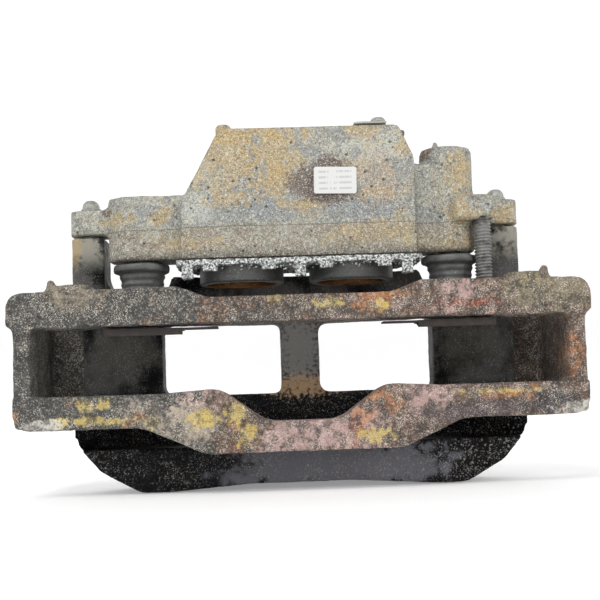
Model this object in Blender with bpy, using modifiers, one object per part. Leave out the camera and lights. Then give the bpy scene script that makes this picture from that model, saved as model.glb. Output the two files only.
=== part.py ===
"""Twin-piston floating brake caliper, in metres.

An iron carrier bolts to the steering knuckle. The housing slides on its two guide pins: an
aluminium cylinder block with two pistons, bolted to an iron bridge yoke that reaches over the disc.

+X runs along the disc's rim, +Y points away from the wheel hub, and +Z runs along the pistons
towards the vehicle. The part stands on the yoke's outboard wall.
"""

import math

import bmesh
import bpy
from mathutils import Matrix

# Fits and facets
GAP = 0.0003
ROUND_SIDES = 40
SMALL_SIDES = 20
ARC_STEPS = 5
CUT_PAST = 0.002

# Brake disc that the caliper spans
DISC_RADIUS = 0.150
DISC_AXIS_Y = -0.120
DISC_CLEARANCE = 0.003
DISC_GAP = 0.0335

# Carrier
CARRIER_HALF = 0.149
PILLAR_INSET = 0.003
PILLAR_WIDTH = 0.010
CARRIER_FRONT = -0.052
BEAM_DEPTH = 0.022
WEB_INNER_Y = 0.0155
WEB_THICKNESS = 0.0115
WEB_REACH = 0.036
OUTER_BEAM_Z = 0.034
OUTER_BEAM_HEIGHT = 0.018
OUTER_DIP = 0.0155
OUTER_DROP = 0.014
OUTER_DIP_HALF = 0.018
OUTER_CREST_X = 0.042
OUTER_CREST_RISE = 0.0018
OUTER_SHOULDER_X = 0.072
OUTER_BELLY_HALF = 0.050
OUTER_BELLY_END_X = 0.081
INNER_BAR_HEIGHT = 0.0205
INNER_MIDDLE_HEIGHT = 0.0145
INNER_DIP_HALF = 0.046
INNER_DIP_RAMP = 0.016
LUG_THICKNESS = 0.012
LUG_INNER_REACH = 0.0215
LUG_OUTER_REACH = 0.0160
LUG_BACK_Y = 0.005
HORN_INNER_REACH = 0.0075
HORN_OUTER_REACH = 0.0225
HORN_HEIGHT = 0.0095
HORN_DEPTH = 0.020
FACE_SLOT_DEPTH = 0.003
FACE_SLOT_HEIGHT = 0.0022
KNUCKLE_BOSS_REACH = 0.034
KNUCKLE_BOSS_Y = -0.0395
KNUCKLE_BOSS_RADIUS = 0.0125
KNUCKLE_BOSS_RISE = 0.003
KNUCKLE_HOLE_RADIUS = 0.0065
NIB_RADIUS = 0.0026
NIB_RISE = 0.0035

# Guide pins, their bushes and boots
PIN_X = 0.0835
PIN_Y = -0.008
PIN_RADIUS = 0.006
PIN_THREAD_STEP = 0.001
PIN_COLLAR_RIM = 0.0008
PIN_COLLAR_HEIGHT = 0.003
PIN_NUT_ACROSS = 0.016
PIN_NUT_HEIGHT = 0.005
SHORT_PIN_LENGTH = 0.0370
LONG_PIN_LENGTH = 0.0600
BUSH_WALL = 0.003
BUSH_LENGTH = 0.024
BOOT_LENGTH = 0.0155
BOOT_RING_RADIUS = 0.0155
BOOT_BODY_RADIUS = 0.0115
BOOT_HOLLOW = 0.001
BOOT_RING_HEIGHT = 0.0038

# Cylinder block
BLOCK_HEIGHT = 0.0695
BLOCK_FRONT_WALL = 0.0057
BLOCK_BACK_WALL = 0.0007
BLOCK_SHOULDER_DROP = 0.021
BLOCK_WAIST_RISE = 0.031
BLOCK_CORNER_DROP = 0.0175
BARREL_WALL = 0.0075
SHORT_LUG_LENGTH = 0.0355
LONG_LUG_LENGTH = 0.0590
LUG_RADIUS = 0.0145
EAR_DROP = 0.016
EAR_THICKNESS = 0.0145
EAR_INNER_REACH = 0.0195
EAR_OUTER_REACH = 0.0385
EAR_FRONT = -0.012
EAR_BACK = 0.010
EAR_ROUND = 0.006

# Pistons
PISTON_WEB = 0.014
PISTON_RADIUS = 0.023
PISTON_LENGTH = 0.046
PISTON_WALL = 0.0042
PISTON_FLOOR = 0.008
PISTON_PROTRUSION = 0.0120
BORE_DEPTH = 0.050
SEAL_Z = 0.0090
SEAL_HEIGHT = 0.0036
SEAL_DEPTH = 0.0036
DUST_SEAL_Z = 0.0025
DUST_SEAL_HEIGHT = 0.0030
DUST_SEAL_DEPTH = 0.0030

# Boot retainer plate
PLATE_SIDE_GAP = 0.0015
PLATE_OFFSET = 0.0025
PLATE_RIM = 0.006
PLATE_SIDE_Y = 0.006
PLATE_THICKNESS = 0.0030
PLATE_HOLE_CLEARANCE = 0.0015
LEG_XS = (-0.058, 0.0015, 0.058)
LEG_WIDTH = 0.006
LEG_DROP = 0.0075
LEG_DEPTH = 0.0028
TAB_XS = (-0.046, -0.0150, 0.0150, 0.046)
TAB_WIDTH = 0.0075
TAB_DROP = 0.0035
TAB_DEPTH = 0.0022

# Bridge yoke
BRIDGE_THICKNESS = 0.019
WALL_THICKNESS = 0.024
WALL_RELIEF = 0.0028
WALL_RELIEF_HALF = 0.028
WALL_FRONT = -0.0265
CROWN_HALF = 0.070
CROWN_RAMP = 0.004
CROWN_GAP = 0.0006
YOKE_INSET = 0.003
PANEL_INSET = 0.004
FOOT_HALF_INSET = 0.051
FOOT_CORNER_INSET = 0.034
FOOT_CHAMFER_INSET = 0.013
FOOT_CHAMFER_Z = 0.0115
FOOT_TOP_Z = 0.027
PANEL_INNER_X = 0.075
STRUT_LEFT = -0.010
STRUT_RIGHT = 0.013
WINDOW_Z = 0.0505
WINDOW_HEIGHT = 0.039
SHOULDER_ROUND = 0.014
STRUT_HOLE_RADIUS = 0.0015
STRUT_HOLE_X = -0.005
STRUT_HOLE_Z = 0.077

# Fasteners of the yoke
BRIDGE_BOLT_REACH = 0.028
BRIDGE_BOLT_RADIUS = 0.004
BRIDGE_BOLT_HEAD_RADIUS = 0.0055
BRIDGE_BOLT_HEAD_HEIGHT = 0.0062
BRIDGE_BOLT_LENGTH = 0.038
BRIDGE_BOLT_HOLE_CLEARANCE = 0.0006
STUD_REACH = 0.0163
STUD_Y = -0.0206
STUD_RADIUS = 0.0048
STUD_BITE = 0.009
STUD_DIP = 0.008
STUD_BOSS_HALF = 0.0068
STUD_CLEARANCE = 0.0008

# Hydraulic fittings
INLET_X = 0.004
INLET_Y = 0.010
INLET_BOSS_RADIUS = 0.009
INLET_BOSS_RISE = 0.005
INLET_RADIUS = 0.0046
INLET_DEPTH = 0.014
GALLERY_RADIUS = 0.002
BLEED_Y = 0.004
BLEED_BOSS_RADIUS = 0.0065
BLEED_BOSS_START = 0.036
BLEED_FACE_X = 0.0480
BLEED_RISE = 0.0015
BLEED_THREAD_RADIUS = 0.003
BLEED_THREAD_LENGTH = 0.010
BLEED_HEX_ACROSS = 0.008
BLEED_HEX_LENGTH = 0.0040
BLEED_NIPPLE_RADIUS = 0.0019
BLEED_NIPPLE_LENGTH = 0.0050
CAP_RADIUS = 0.0040
CAP_TIP_RADIUS = 0.0016
CAP_LENGTH = 0.0105
GALLERY_PLUG_X = -0.0375
GALLERY_PLUG_Y = -0.020
GALLERY_PLUG_RADIUS = 0.0045
GALLERY_PLUG_RISE = 0.0036
BORE_PLUG_HEIGHT = 0.004
BORE_PLUG_NIB = 0.0035

# Small parts
CLIP_PLATE_LEFT = 0.0330
CLIP_PLATE_RIGHT = 0.0505
CLIP_PLATE_Y = -0.016
CLIP_PLATE_WIDTH = 0.012
CLIP_PLATE_THICKNESS = 0.0012
CLIP_PAD_RISE = 0.0015
CLIP_SCREW_X = 0.0465
CLIP_SCREW_RADIUS = 0.0020
CLIP_SCREW_HEAD_RADIUS = 0.0040
CLIP_SCREW_LENGTH = 0.009
LABEL_X = 0.0212
LABEL_Z = 0.0393
LABEL_WIDTH = 0.0225
LABEL_HEIGHT = 0.0142
LABEL_THICKNESS = 0.0004
LABEL_TURN = math.radians(1.5)
PAD_CLIP_INNER_X = 0.042
PAD_CLIP_STEP_X = 0.060
PAD_CLIP_OUTER_X = 0.100
PAD_CLIP_FRONT = -0.047
PAD_CLIP_DEPTH = 0.018
PAD_CLIP_SHEET = 0.0010
PAD_CLIP_LIP = 0.0036

# Places that follow from the sizes above
PIN_THREAD_RADIUS = PIN_RADIUS - PIN_THREAD_STEP
PIN_COLLAR_RADIUS = PIN_RADIUS + PIN_COLLAR_RIM
BUSH_RADIUS = PIN_RADIUS + BUSH_WALL
LUG_INNER_X = PIN_X - LUG_INNER_REACH
LUG_OUTER_X = PIN_X + LUG_OUTER_REACH
KNUCKLE_BOSS_X = PIN_X + KNUCKLE_BOSS_REACH
BRIDGE_BOLT_X = PIN_X + BRIDGE_BOLT_REACH
STUD_X = PIN_X + STUD_REACH
EAR_INNER_X = PIN_X + EAR_INNER_REACH
EAR_OUTER_X = PIN_X + EAR_OUTER_REACH
YOKE_HALF = EAR_OUTER_X - YOKE_INSET
PANEL_HALF = YOKE_HALF - PANEL_INSET
PILLAR_HALF = CARRIER_HALF - PILLAR_INSET
OUTER_BEAM_TOP = OUTER_BEAM_Z + OUTER_BEAM_HEIGHT
INNER_BAR_Z = OUTER_BEAM_TOP + DISC_GAP
INNER_BAR_TOP = INNER_BAR_Z + INNER_BAR_HEIGHT
BEAM_BACK = CARRIER_FRONT + BEAM_DEPTH
WEB_OUTER_Y = WEB_INNER_Y + WEB_THICKNESS
PILLAR_INNER_X = PILLAR_HALF - PILLAR_WIDTH
LUG_BOTTOM = INNER_BAR_TOP - LUG_THICKNESS
BLOCK_Z = INNER_BAR_TOP + BOOT_LENGTH
BLOCK_TOP = BLOCK_Z + BLOCK_HEIGHT
EAR_Z = BLOCK_Z + EAR_DROP
EAR_TOP = EAR_Z + EAR_THICKNESS
SHORT_LUG_TOP = BLOCK_Z + SHORT_LUG_LENGTH
LONG_LUG_TOP = BLOCK_Z + LONG_LUG_LENGTH
BORE_RADIUS = PISTON_RADIUS + GAP
PISTON_X = PISTON_RADIUS + PISTON_WEB / 2
BLOCK_FRONT = -BORE_RADIUS - BLOCK_FRONT_WALL
BLOCK_BACK = BORE_RADIUS + BLOCK_BACK_WALL
PLATE_DEPTH = 2 * (PISTON_RADIUS + PLATE_RIM)
PLATE_RIGHT = PIN_X - BOOT_RING_RADIUS - PLATE_SIDE_GAP
PLATE_LEFT = PLATE_OFFSET - PLATE_RIGHT
BLOCK_LEFT = PLATE_LEFT + 0.0020
BLOCK_RIGHT = PLATE_RIGHT - 0.0025
BARREL_RADIUS = BORE_RADIUS + BARREL_WALL
PISTON_RIM_Z = BLOCK_Z - PISTON_PROTRUSION
BRIDGE_INNER = DISC_RADIUS + DISC_CLEARANCE
BRIDGE_OUTER = BRIDGE_INNER + BRIDGE_THICKNESS
BRIDGE_TOP = INNER_BAR_TOP
PLATE_TOP = BLOCK_Z - GAP
PLATE_Z = PLATE_TOP - PLATE_THICKNESS
CROWN_TOP = PLATE_Z - CROWN_GAP
BLEED_Z = BLOCK_TOP + BLEED_RISE
GALLERY_Z = BLOCK_Z + BORE_DEPTH - 0.004

parts = bpy.data.collections.new("brake_caliper")
cutters = bpy.data.collections.new("cutters")


# ---------------------------------------------------------------- scene and materials


def clear_scene():
    for old in list(bpy.data.objects):
        bpy.data.objects.remove(old, do_unlink=True)
    bpy.context.scene.collection.children.link(parts)
    bpy.context.scene.collection.children.link(cutters)
    cutters.hide_render = True


def finish(name, colour, roughness, metallic):
    made = bpy.data.materials.new(name)
    made.use_nodes = True
    shader = made.node_tree.nodes["Principled BSDF"]
    shader.inputs["Base Color"].default_value = (*colour, 1.0)
    shader.inputs["Roughness"].default_value = roughness
    shader.inputs["Metallic"].default_value = metallic
    return made


# ---------------------------------------------------------------- helpers for shapes


def linked(name, mesh, collection=cutters):
    """A new object that holds this mesh; one in the cutters' collection is a helper."""
    made = bpy.data.objects.new(name, mesh)
    collection.objects.link(made)
    if collection is cutters:
        made.hide_render = True
        made.display_type = "WIRE"
    return made


def arc_points(corners):
    """The outline through (x, y, radius) corners, each rounded by an arc of its radius."""
    points = []
    for i, (x, y, radius) in enumerate(corners):
        before = corners[i - 1]
        after = corners[(i + 1) % len(corners)]
        if radius == 0:
            points.append((x, y))
            continue
        back = math.atan2(before[1] - y, before[0] - x)
        ahead = math.atan2(after[1] - y, after[0] - x)
        turn = (ahead - back + math.pi) % (2 * math.pi) - math.pi
        half = abs(turn) / 2
        room = min(math.dist((x, y), before[:2]), math.dist((x, y), after[:2])) * 0.49
        reach = min(radius / math.tan(half), room)
        radius = reach * math.tan(half)
        middle = back + turn / 2
        centre_x = x + math.cos(middle) * radius / math.sin(half)
        centre_y = y + math.sin(middle) * radius / math.sin(half)
        start = math.atan2(y + math.sin(back) * reach - centre_y, x + math.cos(back) * reach - centre_x)
        sweep = math.copysign(math.pi - 2 * half, -turn)
        for step in range(ARC_STEPS + 1):
            angle = start + sweep * step / ARC_STEPS
            points.append((centre_x + radius * math.cos(angle), centre_y + radius * math.sin(angle)))
    return points


def both_sides(half):
    """A closed outline from its +X half, which runs from the middle of one side to the other."""
    return half + [(-x, y, radius) for x, y, radius in reversed(half)]


def prism(name, points, axis, start, end, edge=0.0):
    """A flat outline filled and extruded along Y or Z from start to end, its edges bevelled."""
    curve = bpy.data.curves.new(name, "CURVE")
    curve.dimensions = "2D"
    curve.fill_mode = "BOTH"
    curve.extrude = abs(end - start) / 2
    spline = curve.splines.new("POLY")
    spline.points.add(len(points) - 1)
    for point, place in zip(spline.points, points):
        point.co = (place[0], place[1], 0, 1)
    spline.use_cyclic_u = True
    outline = bpy.data.objects.new(name, curve)
    bpy.context.scene.collection.objects.link(outline)
    bpy.context.view_layer.update()
    graph = bpy.context.evaluated_depsgraph_get()
    mesh = bpy.data.meshes.new_from_object(outline.evaluated_get(graph))
    bpy.data.objects.remove(outline, do_unlink=True)
    shape = bmesh.new()
    shape.from_mesh(mesh)
    bmesh.ops.remove_doubles(shape, verts=shape.verts, dist=1e-6)
    middle = (start + end) / 2
    if axis == "Y":
        turn = Matrix.Translation((0, middle, 0)) @ Matrix.Rotation(math.pi / 2, 4, "X")
    else:
        turn = Matrix.Translation((0, 0, middle))
    bmesh.ops.transform(shape, matrix=turn, verts=shape.verts)
    bmesh.ops.recalc_face_normals(shape, faces=shape.faces)
    shape.to_mesh(mesh)
    shape.free()
    made = linked(name, mesh)
    if edge:
        bevel(made, edge)
    return made


def box(name, low, high, edge=0.0):
    """A box between two corners."""
    shape = bmesh.new()
    bmesh.ops.create_cube(shape, size=1)
    size = [b - a for a, b in zip(low, high)]
    centre = [(a + b) / 2 for a, b in zip(low, high)]
    matrix = Matrix.Translation(centre) @ Matrix.Diagonal((*size, 1))
    bmesh.ops.transform(shape, matrix=matrix, verts=shape.verts)
    mesh = bpy.data.meshes.new(name)
    shape.to_mesh(mesh)
    shape.free()
    made = linked(name, mesh)
    if edge:
        bevel(made, edge)
    return made


def rod(name, radius, start, length, axis="Z", sides=ROUND_SIDES, end_radius=None, edge=0.0):
    """A cylinder or cone from the point start, along +X, +Y or +Z."""
    shape = bmesh.new()
    far = radius if end_radius is None else end_radius
    bmesh.ops.create_cone(shape, cap_ends=True, segments=sides, radius1=radius, radius2=far, depth=length)
    turns = {"X": Matrix.Rotation(math.pi / 2, 4, "Y"), "Y": Matrix.Rotation(-math.pi / 2, 4, "X")}
    raised = Matrix.Translation((0, 0, length / 2))
    matrix = Matrix.Translation(start) @ turns.get(axis, Matrix()) @ raised
    bmesh.ops.transform(shape, matrix=matrix, verts=shape.verts)
    mesh = bpy.data.meshes.new(name)
    shape.to_mesh(mesh)
    shape.free()
    made = linked(name, mesh)
    if edge:
        bevel(made, edge)
    return made


def turned(name, profile, place, sides=ROUND_SIDES):
    """A closed (radius, height) profile spun about the vertical line through place."""
    mesh = bpy.data.meshes.new(name)
    count = len(profile)
    on_axis = any(radius == 0 for radius, _ in profile)
    edges = [(i, (i + 1) % count) for i in range(count - 1 if on_axis else count)]
    mesh.from_pydata([(radius, 0, height) for radius, height in profile], edges, [])
    made = linked(name, mesh)
    made.location = place
    screw = made.modifiers.new("Turn", "SCREW")
    screw.axis = "Z"
    screw.steps = sides
    screw.render_steps = sides
    screw.use_merge_vertices = True
    screw.merge_threshold = 0.00001
    return made


def bevel(made, width, segments=2):
    rounding = made.modifiers.new("Edges", "BEVEL")
    rounding.width = width
    rounding.segments = segments
    rounding.limit_method = "ANGLE"
    rounding.angle_limit = math.radians(40)
    return rounding


def combine(made, helper, operation, solver="EXACT"):
    step = made.modifiers.new(helper.name, "BOOLEAN")
    step.operation = operation
    step.object = helper
    step.solver = solver


def add(made, *helpers, solver="EXACT"):
    for helper in helpers:
        combine(made, helper, "UNION", solver)


def cut(made, *helpers, solver="EXACT"):
    for helper in helpers:
        combine(made, helper, "DIFFERENCE", solver)


def keep_inside(made, helper):
    combine(made, helper, "INTERSECT")


def piece(made, name, material, parent=None):
    """Turns a finished helper into a named piece with its material, on a moving frame or not."""
    cutters.objects.unlink(made)
    parts.objects.link(made)
    made.hide_render = False
    made.display_type = "TEXTURED"
    made.name = name
    made.data.materials.clear()
    made.data.materials.append(material)
    made.data.shade_smooth()
    made.data.set_sharp_from_angle(angle=math.radians(35))
    if parent is not None:
        made.parent = parent
        made.location = made.location - parent.location
    return made


def moving_frame(name, place):
    made = bpy.data.objects.new(name, None)
    parts.objects.link(made)
    made.location = place
    return made


def hexagon(across, centre_x=0.0, centre_y=0.0):
    reach = across / math.sqrt(3)
    angles = [math.radians(60 * i) for i in range(6)]
    return [(centre_x + reach * math.cos(a), centre_y + reach * math.sin(a)) for a in angles]


def disc_arc(radius, half_x, steps=22):
    """Points at this distance from the disc's axis, from -half_x to +half_x."""
    reach = math.asin(half_x / radius)
    angles = [-reach + 2 * reach * i / steps for i in range(steps + 1)]
    return [(radius * math.sin(a), DISC_AXIS_Y + radius * math.cos(a)) for a in angles]


# ---------------------------------------------------------------- carrier


def inner_bar_outline():
    middle_top = INNER_BAR_Z + INNER_MIDDLE_HEIGHT
    half = [
        (INNER_DIP_HALF, middle_top, 0.010),
        (INNER_DIP_HALF + INNER_DIP_RAMP, INNER_BAR_TOP, 0.010),
        (CARRIER_HALF, INNER_BAR_TOP - 0.001, 0.011),
        (CARRIER_HALF, INNER_BAR_Z + 0.002, 0.002),
        (PILLAR_HALF, INNER_BAR_Z, 0),
    ]
    return both_sides(half)


def outer_beam_outline():
    top = OUTER_BEAM_TOP
    half = [
        (OUTER_DIP_HALF, top - OUTER_DIP, 0.016),
        (OUTER_CREST_X, top + OUTER_CREST_RISE, 0.016),
        (OUTER_SHOULDER_X, top, 0.020),
        (PILLAR_HALF, top, 0),
        (PILLAR_HALF, OUTER_BEAM_Z, 0.009),
        (OUTER_BELLY_END_X, OUTER_BEAM_Z, 0.018),
        (OUTER_BELLY_HALF, OUTER_BEAM_Z - OUTER_DROP, 0.018),
    ]
    return both_sides(half)


def carrier_side(side):
    """Pillar, web, knuckle boss, guide pin lug and pad horn on one end of the carrier."""
    tag = "left" if side < 0 else "right"

    def span(name, near, far, low_y, high_y, low_z, high_z, edge=0.0):
        xs = sorted((side * near, side * far))
        return box(f"{name}_{tag}", (xs[0], low_y, low_z), (xs[1], high_y, high_z), edge)

    high = INNER_BAR_TOP - 0.004
    shapes = [
        span("pillar", PILLAR_INNER_X, PILLAR_HALF, CARRIER_FRONT + 0.002, WEB_OUTER_Y,
             OUTER_BEAM_Z + 0.001, high, 0.002),
        span("web", PILLAR_HALF - WEB_REACH, PILLAR_HALF - 0.001, WEB_INNER_Y, WEB_OUTER_Y - 0.0005,
             OUTER_BEAM_Z + 0.0015, high - 0.0005, 0.002),
        span("lug", LUG_INNER_X, LUG_OUTER_X, BEAM_BACK - 0.002, LUG_BACK_Y,
             LUG_BOTTOM, INNER_BAR_TOP - 0.0002),
        span("abutment", LUG_INNER_X, LUG_OUTER_X + 0.004, BEAM_BACK - 0.003, BEAM_BACK + 0.010,
             INNER_BAR_Z + 0.0006, INNER_BAR_TOP - 0.0008),
        span("horn", PIN_X - HORN_INNER_REACH, PIN_X + HORN_OUTER_REACH,
             BEAM_BACK - 0.002, BEAM_BACK + HORN_DEPTH,
             OUTER_BEAM_TOP - HORN_HEIGHT, OUTER_BEAM_TOP - 0.0006, 0.0015),
        rod(f"knuckle_boss_{tag}", KNUCKLE_BOSS_RADIUS,
            (side * KNUCKLE_BOSS_X, KNUCKLE_BOSS_Y, INNER_BAR_Z - 0.0005),
            INNER_BAR_HEIGHT + KNUCKLE_BOSS_RISE, edge=0.001),
        rod(f"nib_{tag}", NIB_RADIUS,
            (side * (KNUCKLE_BOSS_X + 0.0095), KNUCKLE_BOSS_Y - 0.003, INNER_BAR_Z + 0.010),
            INNER_BAR_HEIGHT - 0.0075 + NIB_RISE, sides=10, edge=0.0008),
    ]
    inside_disc = rod(f"lug_limit_{tag}", BRIDGE_INNER - 0.0015, (0, DISC_AXIS_Y, LUG_BOTTOM - 0.01),
                      LUG_THICKNESS + 0.028, sides=96)
    keep_inside(shapes[2], inside_disc)
    return shapes


def carrier_cuts(side):
    tag = "left" if side < 0 else "right"
    xs = sorted((side * (LUG_INNER_X - 0.001), side * (LUG_OUTER_X + 0.003)))
    low = INNER_BAR_Z + 0.0055
    reach = STUD_RADIUS + STUD_CLEARANCE
    notch = sorted((side * (STUD_X - reach), side * (STUD_X + 0.012)))
    return [
        rod(f"knuckle_hole_{tag}", KNUCKLE_HOLE_RADIUS,
            (side * KNUCKLE_BOSS_X, KNUCKLE_BOSS_Y, INNER_BAR_Z - CUT_PAST - 0.001),
            INNER_BAR_HEIGHT + KNUCKLE_BOSS_RISE + 3 * CUT_PAST, sides=SMALL_SIDES),
        rod(f"pin_hole_{tag}", PIN_THREAD_RADIUS + GAP,
            (side * PIN_X, PIN_Y, LUG_BOTTOM - CUT_PAST), LUG_THICKNESS + 2 * CUT_PAST, sides=SMALL_SIDES),
        box(f"face_slot_{tag}", (xs[0], CARRIER_FRONT - CUT_PAST, low),
            (xs[1], CARRIER_FRONT + FACE_SLOT_DEPTH, low + FACE_SLOT_HEIGHT)),
        box(f"stud_notch_{tag}", (notch[0], STUD_Y - reach, INNER_BAR_Z - 0.01),
            (notch[1], STUD_Y + reach, INNER_BAR_TOP + 0.01)),
    ]


def build_carrier(iron):
    body = prism("inner_bar", arc_points(inner_bar_outline()), "Y", CARRIER_FRONT + 0.0004, BEAM_BACK)
    # The outer beam's level undersides leave EXACT an open seam, so this body uses MANIFOLD.
    beam = prism("outer_beam", arc_points(outer_beam_outline()), "Y", CARRIER_FRONT, BEAM_BACK - 0.0004)
    add(body, beam, solver="MANIFOLD")
    for side in (-1, 1):
        add(body, *carrier_side(side), solver="MANIFOLD")
    for side in (-1, 1):
        cut(body, *carrier_cuts(side), solver="MANIFOLD")
    return piece(body, "carrier_frame", iron)


def build_guide_pins(steel, zinc):
    for side, length, tag in ((-1, SHORT_PIN_LENGTH, "left"), (1, LONG_PIN_LENGTH, "right")):
        foot = INNER_BAR_TOP + GAP
        profile = [
            (0, length),
            (PIN_RADIUS - 0.001, length),
            (PIN_RADIUS, length - 0.001),
            (PIN_RADIUS, PIN_COLLAR_HEIGHT),
            (PIN_COLLAR_RADIUS, PIN_COLLAR_HEIGHT),
            (PIN_COLLAR_RADIUS, 0),
            (PIN_THREAD_RADIUS, 0),
            (PIN_THREAD_RADIUS, LUG_BOTTOM - PIN_NUT_HEIGHT - foot),
            (0, LUG_BOTTOM - PIN_NUT_HEIGHT - foot),
        ]
        pin = turned(f"pin_{tag}", profile, (side * PIN_X, PIN_Y, foot), SMALL_SIDES)
        piece(pin, f"guide_pin_{tag}", steel)
        top = LUG_BOTTOM - GAP
        hexed = hexagon(PIN_NUT_ACROSS, side * PIN_X, PIN_Y)
        nut = prism(f"nut_{tag}", hexed, "Z", top - PIN_NUT_HEIGHT, top)
        cut(nut, rod(f"nut_hole_{tag}", PIN_THREAD_RADIUS + GAP,
                     (side * PIN_X, PIN_Y, top - PIN_NUT_HEIGHT - CUT_PAST),
                     PIN_NUT_HEIGHT + 2 * CUT_PAST, sides=SMALL_SIDES))
        piece(nut, f"guide_pin_nut_{tag}", zinc)


def build_pad_clips(spring_steel):
    """Folded sheet springs under the inboard bar, which the inboard pad's ears slide on."""
    top = INNER_BAR_Z - 0.0008
    for side, tag in ((-1, "left"), (1, "right")):
        xs = sorted((side * PAD_CLIP_STEP_X, side * PAD_CLIP_OUTER_X))
        tongue = sorted((side * PAD_CLIP_INNER_X, side * (PAD_CLIP_STEP_X + 0.004)))
        front = PAD_CLIP_FRONT
        clip = box(f"clip_sheet_{tag}", (xs[0], front, top - PAD_CLIP_SHEET),
                   (xs[1], front + PAD_CLIP_DEPTH, top))
        add(clip, box(f"clip_lip_{tag}", (xs[0], front, top - PAD_CLIP_LIP),
                      (xs[1], front + PAD_CLIP_SHEET, top - PAD_CLIP_SHEET / 2)))
        add(clip, box(f"clip_tongue_{tag}", (tongue[0], front + 0.0002, top - PAD_CLIP_SHEET * 0.9),
                      (tongue[1], front + PAD_CLIP_DEPTH * 0.6, top - 0.0001)))
        piece(clip, f"pad_clip_{tag}", spring_steel)


# ---------------------------------------------------------------- cylinder block


def block_outline():
    return [
        (BLOCK_LEFT, BLOCK_Z, 0),
        (BLOCK_RIGHT, BLOCK_Z, 0),
        (BLOCK_RIGHT, BLOCK_TOP - BLOCK_CORNER_DROP, 0.004),
        (BLOCK_RIGHT - 0.0080, BLOCK_TOP, 0.004),
        (BLOCK_LEFT + 0.0220, BLOCK_TOP, 0.009),
        (BLOCK_LEFT + 0.0110, BLOCK_TOP - BLOCK_SHOULDER_DROP, 0.014),
        (BLOCK_LEFT + 0.0010, BLOCK_Z + BLOCK_WAIST_RISE, 0.010),
    ]


def block_shapes():
    lug_front = PIN_Y - LUG_RADIUS
    lug_back = PIN_Y + LUG_RADIUS
    pad_half = CLIP_PLATE_WIDTH / 2 + 0.001
    ear_plan = [
        (EAR_OUTER_X, EAR_FRONT, EAR_ROUND),
        (EAR_OUTER_X, EAR_BACK, EAR_ROUND),
        (PIN_X - 0.006, EAR_BACK - 0.004, 0.002),
        (PIN_X - 0.006, EAR_FRONT - 0.002, 0.002),
    ]
    left_plan = [(-x, y, radius) for x, y, radius in ear_plan]
    left_block = [
        (BLOCK_LEFT + 0.007, lug_front - 0.001, 0),
        (BLOCK_LEFT + 0.007, lug_back, 0),
        (-PIN_X - 0.0090, lug_back, 0.006),
        (-PIN_X - 0.0175, PIN_Y + 0.004, 0.006),
        (-PIN_X - 0.0175, PIN_Y - 0.006, 0.006),
        (-PIN_X - 0.0090, lug_front - 0.001, 0.006),
    ]
    shapes = [
        prism("left_lug", arc_points(left_block), "Z", BLOCK_Z + 0.0004, SHORT_LUG_TOP, 0.0025),
        prism("left_ear", arc_points(left_plan), "Z", EAR_Z, EAR_TOP, 0.0015),
        prism("right_ear", arc_points(ear_plan), "Z", EAR_Z, EAR_TOP, 0.0015),
        rod("right_lug", LUG_RADIUS, (PIN_X, PIN_Y, BLOCK_Z + 0.0004), LONG_LUG_LENGTH - 0.0004, edge=0.003),
        box("right_web", (BLOCK_RIGHT - 0.014, lug_front + 0.003, BLOCK_Z + 0.0006),
            (PIN_X, lug_back - 0.004, LONG_LUG_TOP - 0.009), 0.003),
        box("stud_boss", (PIN_X, STUD_Y - STUD_BOSS_HALF, EAR_Z + 0.0002),
            (STUD_X + STUD_BOSS_HALF, EAR_FRONT + 0.008, EAR_TOP + 0.001), 0.0035),
        rod("gallery_boss", GALLERY_PLUG_RADIUS, (GALLERY_PLUG_X, GALLERY_PLUG_Y, BLOCK_TOP - 0.010),
            0.010 + GALLERY_PLUG_RISE, sides=SMALL_SIDES, edge=0.0016),
        rod("inlet_boss", INLET_BOSS_RADIUS, (INLET_X, INLET_Y, BLOCK_TOP - 0.012),
            0.012 + INLET_BOSS_RISE, sides=SMALL_SIDES, edge=0.001),
        rod("bleed_boss", BLEED_BOSS_RADIUS, (BLEED_BOSS_START, BLEED_Y, BLEED_Z),
            BLEED_FACE_X - BLEED_BOSS_START, axis="X", sides=SMALL_SIDES, edge=0.001),
        box("clip_pad", (CLIP_PLATE_LEFT + 0.003, CLIP_PLATE_Y - pad_half, BLOCK_TOP - 0.006),
            (CLIP_PLATE_RIGHT + 0.001, CLIP_PLATE_Y + pad_half, BLOCK_TOP + CLIP_PAD_RISE), 0.001),
    ]
    for side in (-1, 1):
        barrel = rod(f"barrel_{side}", BARREL_RADIUS, (side * PISTON_X, 0, BLOCK_Z + 0.0003),
                     BORE_DEPTH + 0.012, edge=0.006)
        combine(barrel, prism(f"barrel_limit_{side}", arc_points(block_outline()), "Y", -0.05, 0.05),
                "INTERSECT", "MANIFOLD")
        shapes.append(barrel)
    return shapes


def bore_profile():
    """Half section of a cylinder bore with its square seal groove and its dust seal groove."""
    seal_radius = BORE_RADIUS + SEAL_DEPTH
    dust_radius = BORE_RADIUS + DUST_SEAL_DEPTH
    return [
        (0, BORE_DEPTH),
        (BORE_RADIUS - 0.002, BORE_DEPTH),
        (BORE_RADIUS, BORE_DEPTH - 0.002),
        (BORE_RADIUS, SEAL_Z + SEAL_HEIGHT + GAP),
        (seal_radius, SEAL_Z + SEAL_HEIGHT + GAP),
        (seal_radius, SEAL_Z - GAP),
        (BORE_RADIUS, SEAL_Z - GAP),
        (BORE_RADIUS, DUST_SEAL_Z + DUST_SEAL_HEIGHT + GAP),
        (dust_radius, DUST_SEAL_Z + DUST_SEAL_HEIGHT + GAP),
        (dust_radius, DUST_SEAL_Z - GAP),
        (BORE_RADIUS, DUST_SEAL_Z - GAP),
        (BORE_RADIUS, -CUT_PAST),
        (0, -CUT_PAST),
    ]


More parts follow.
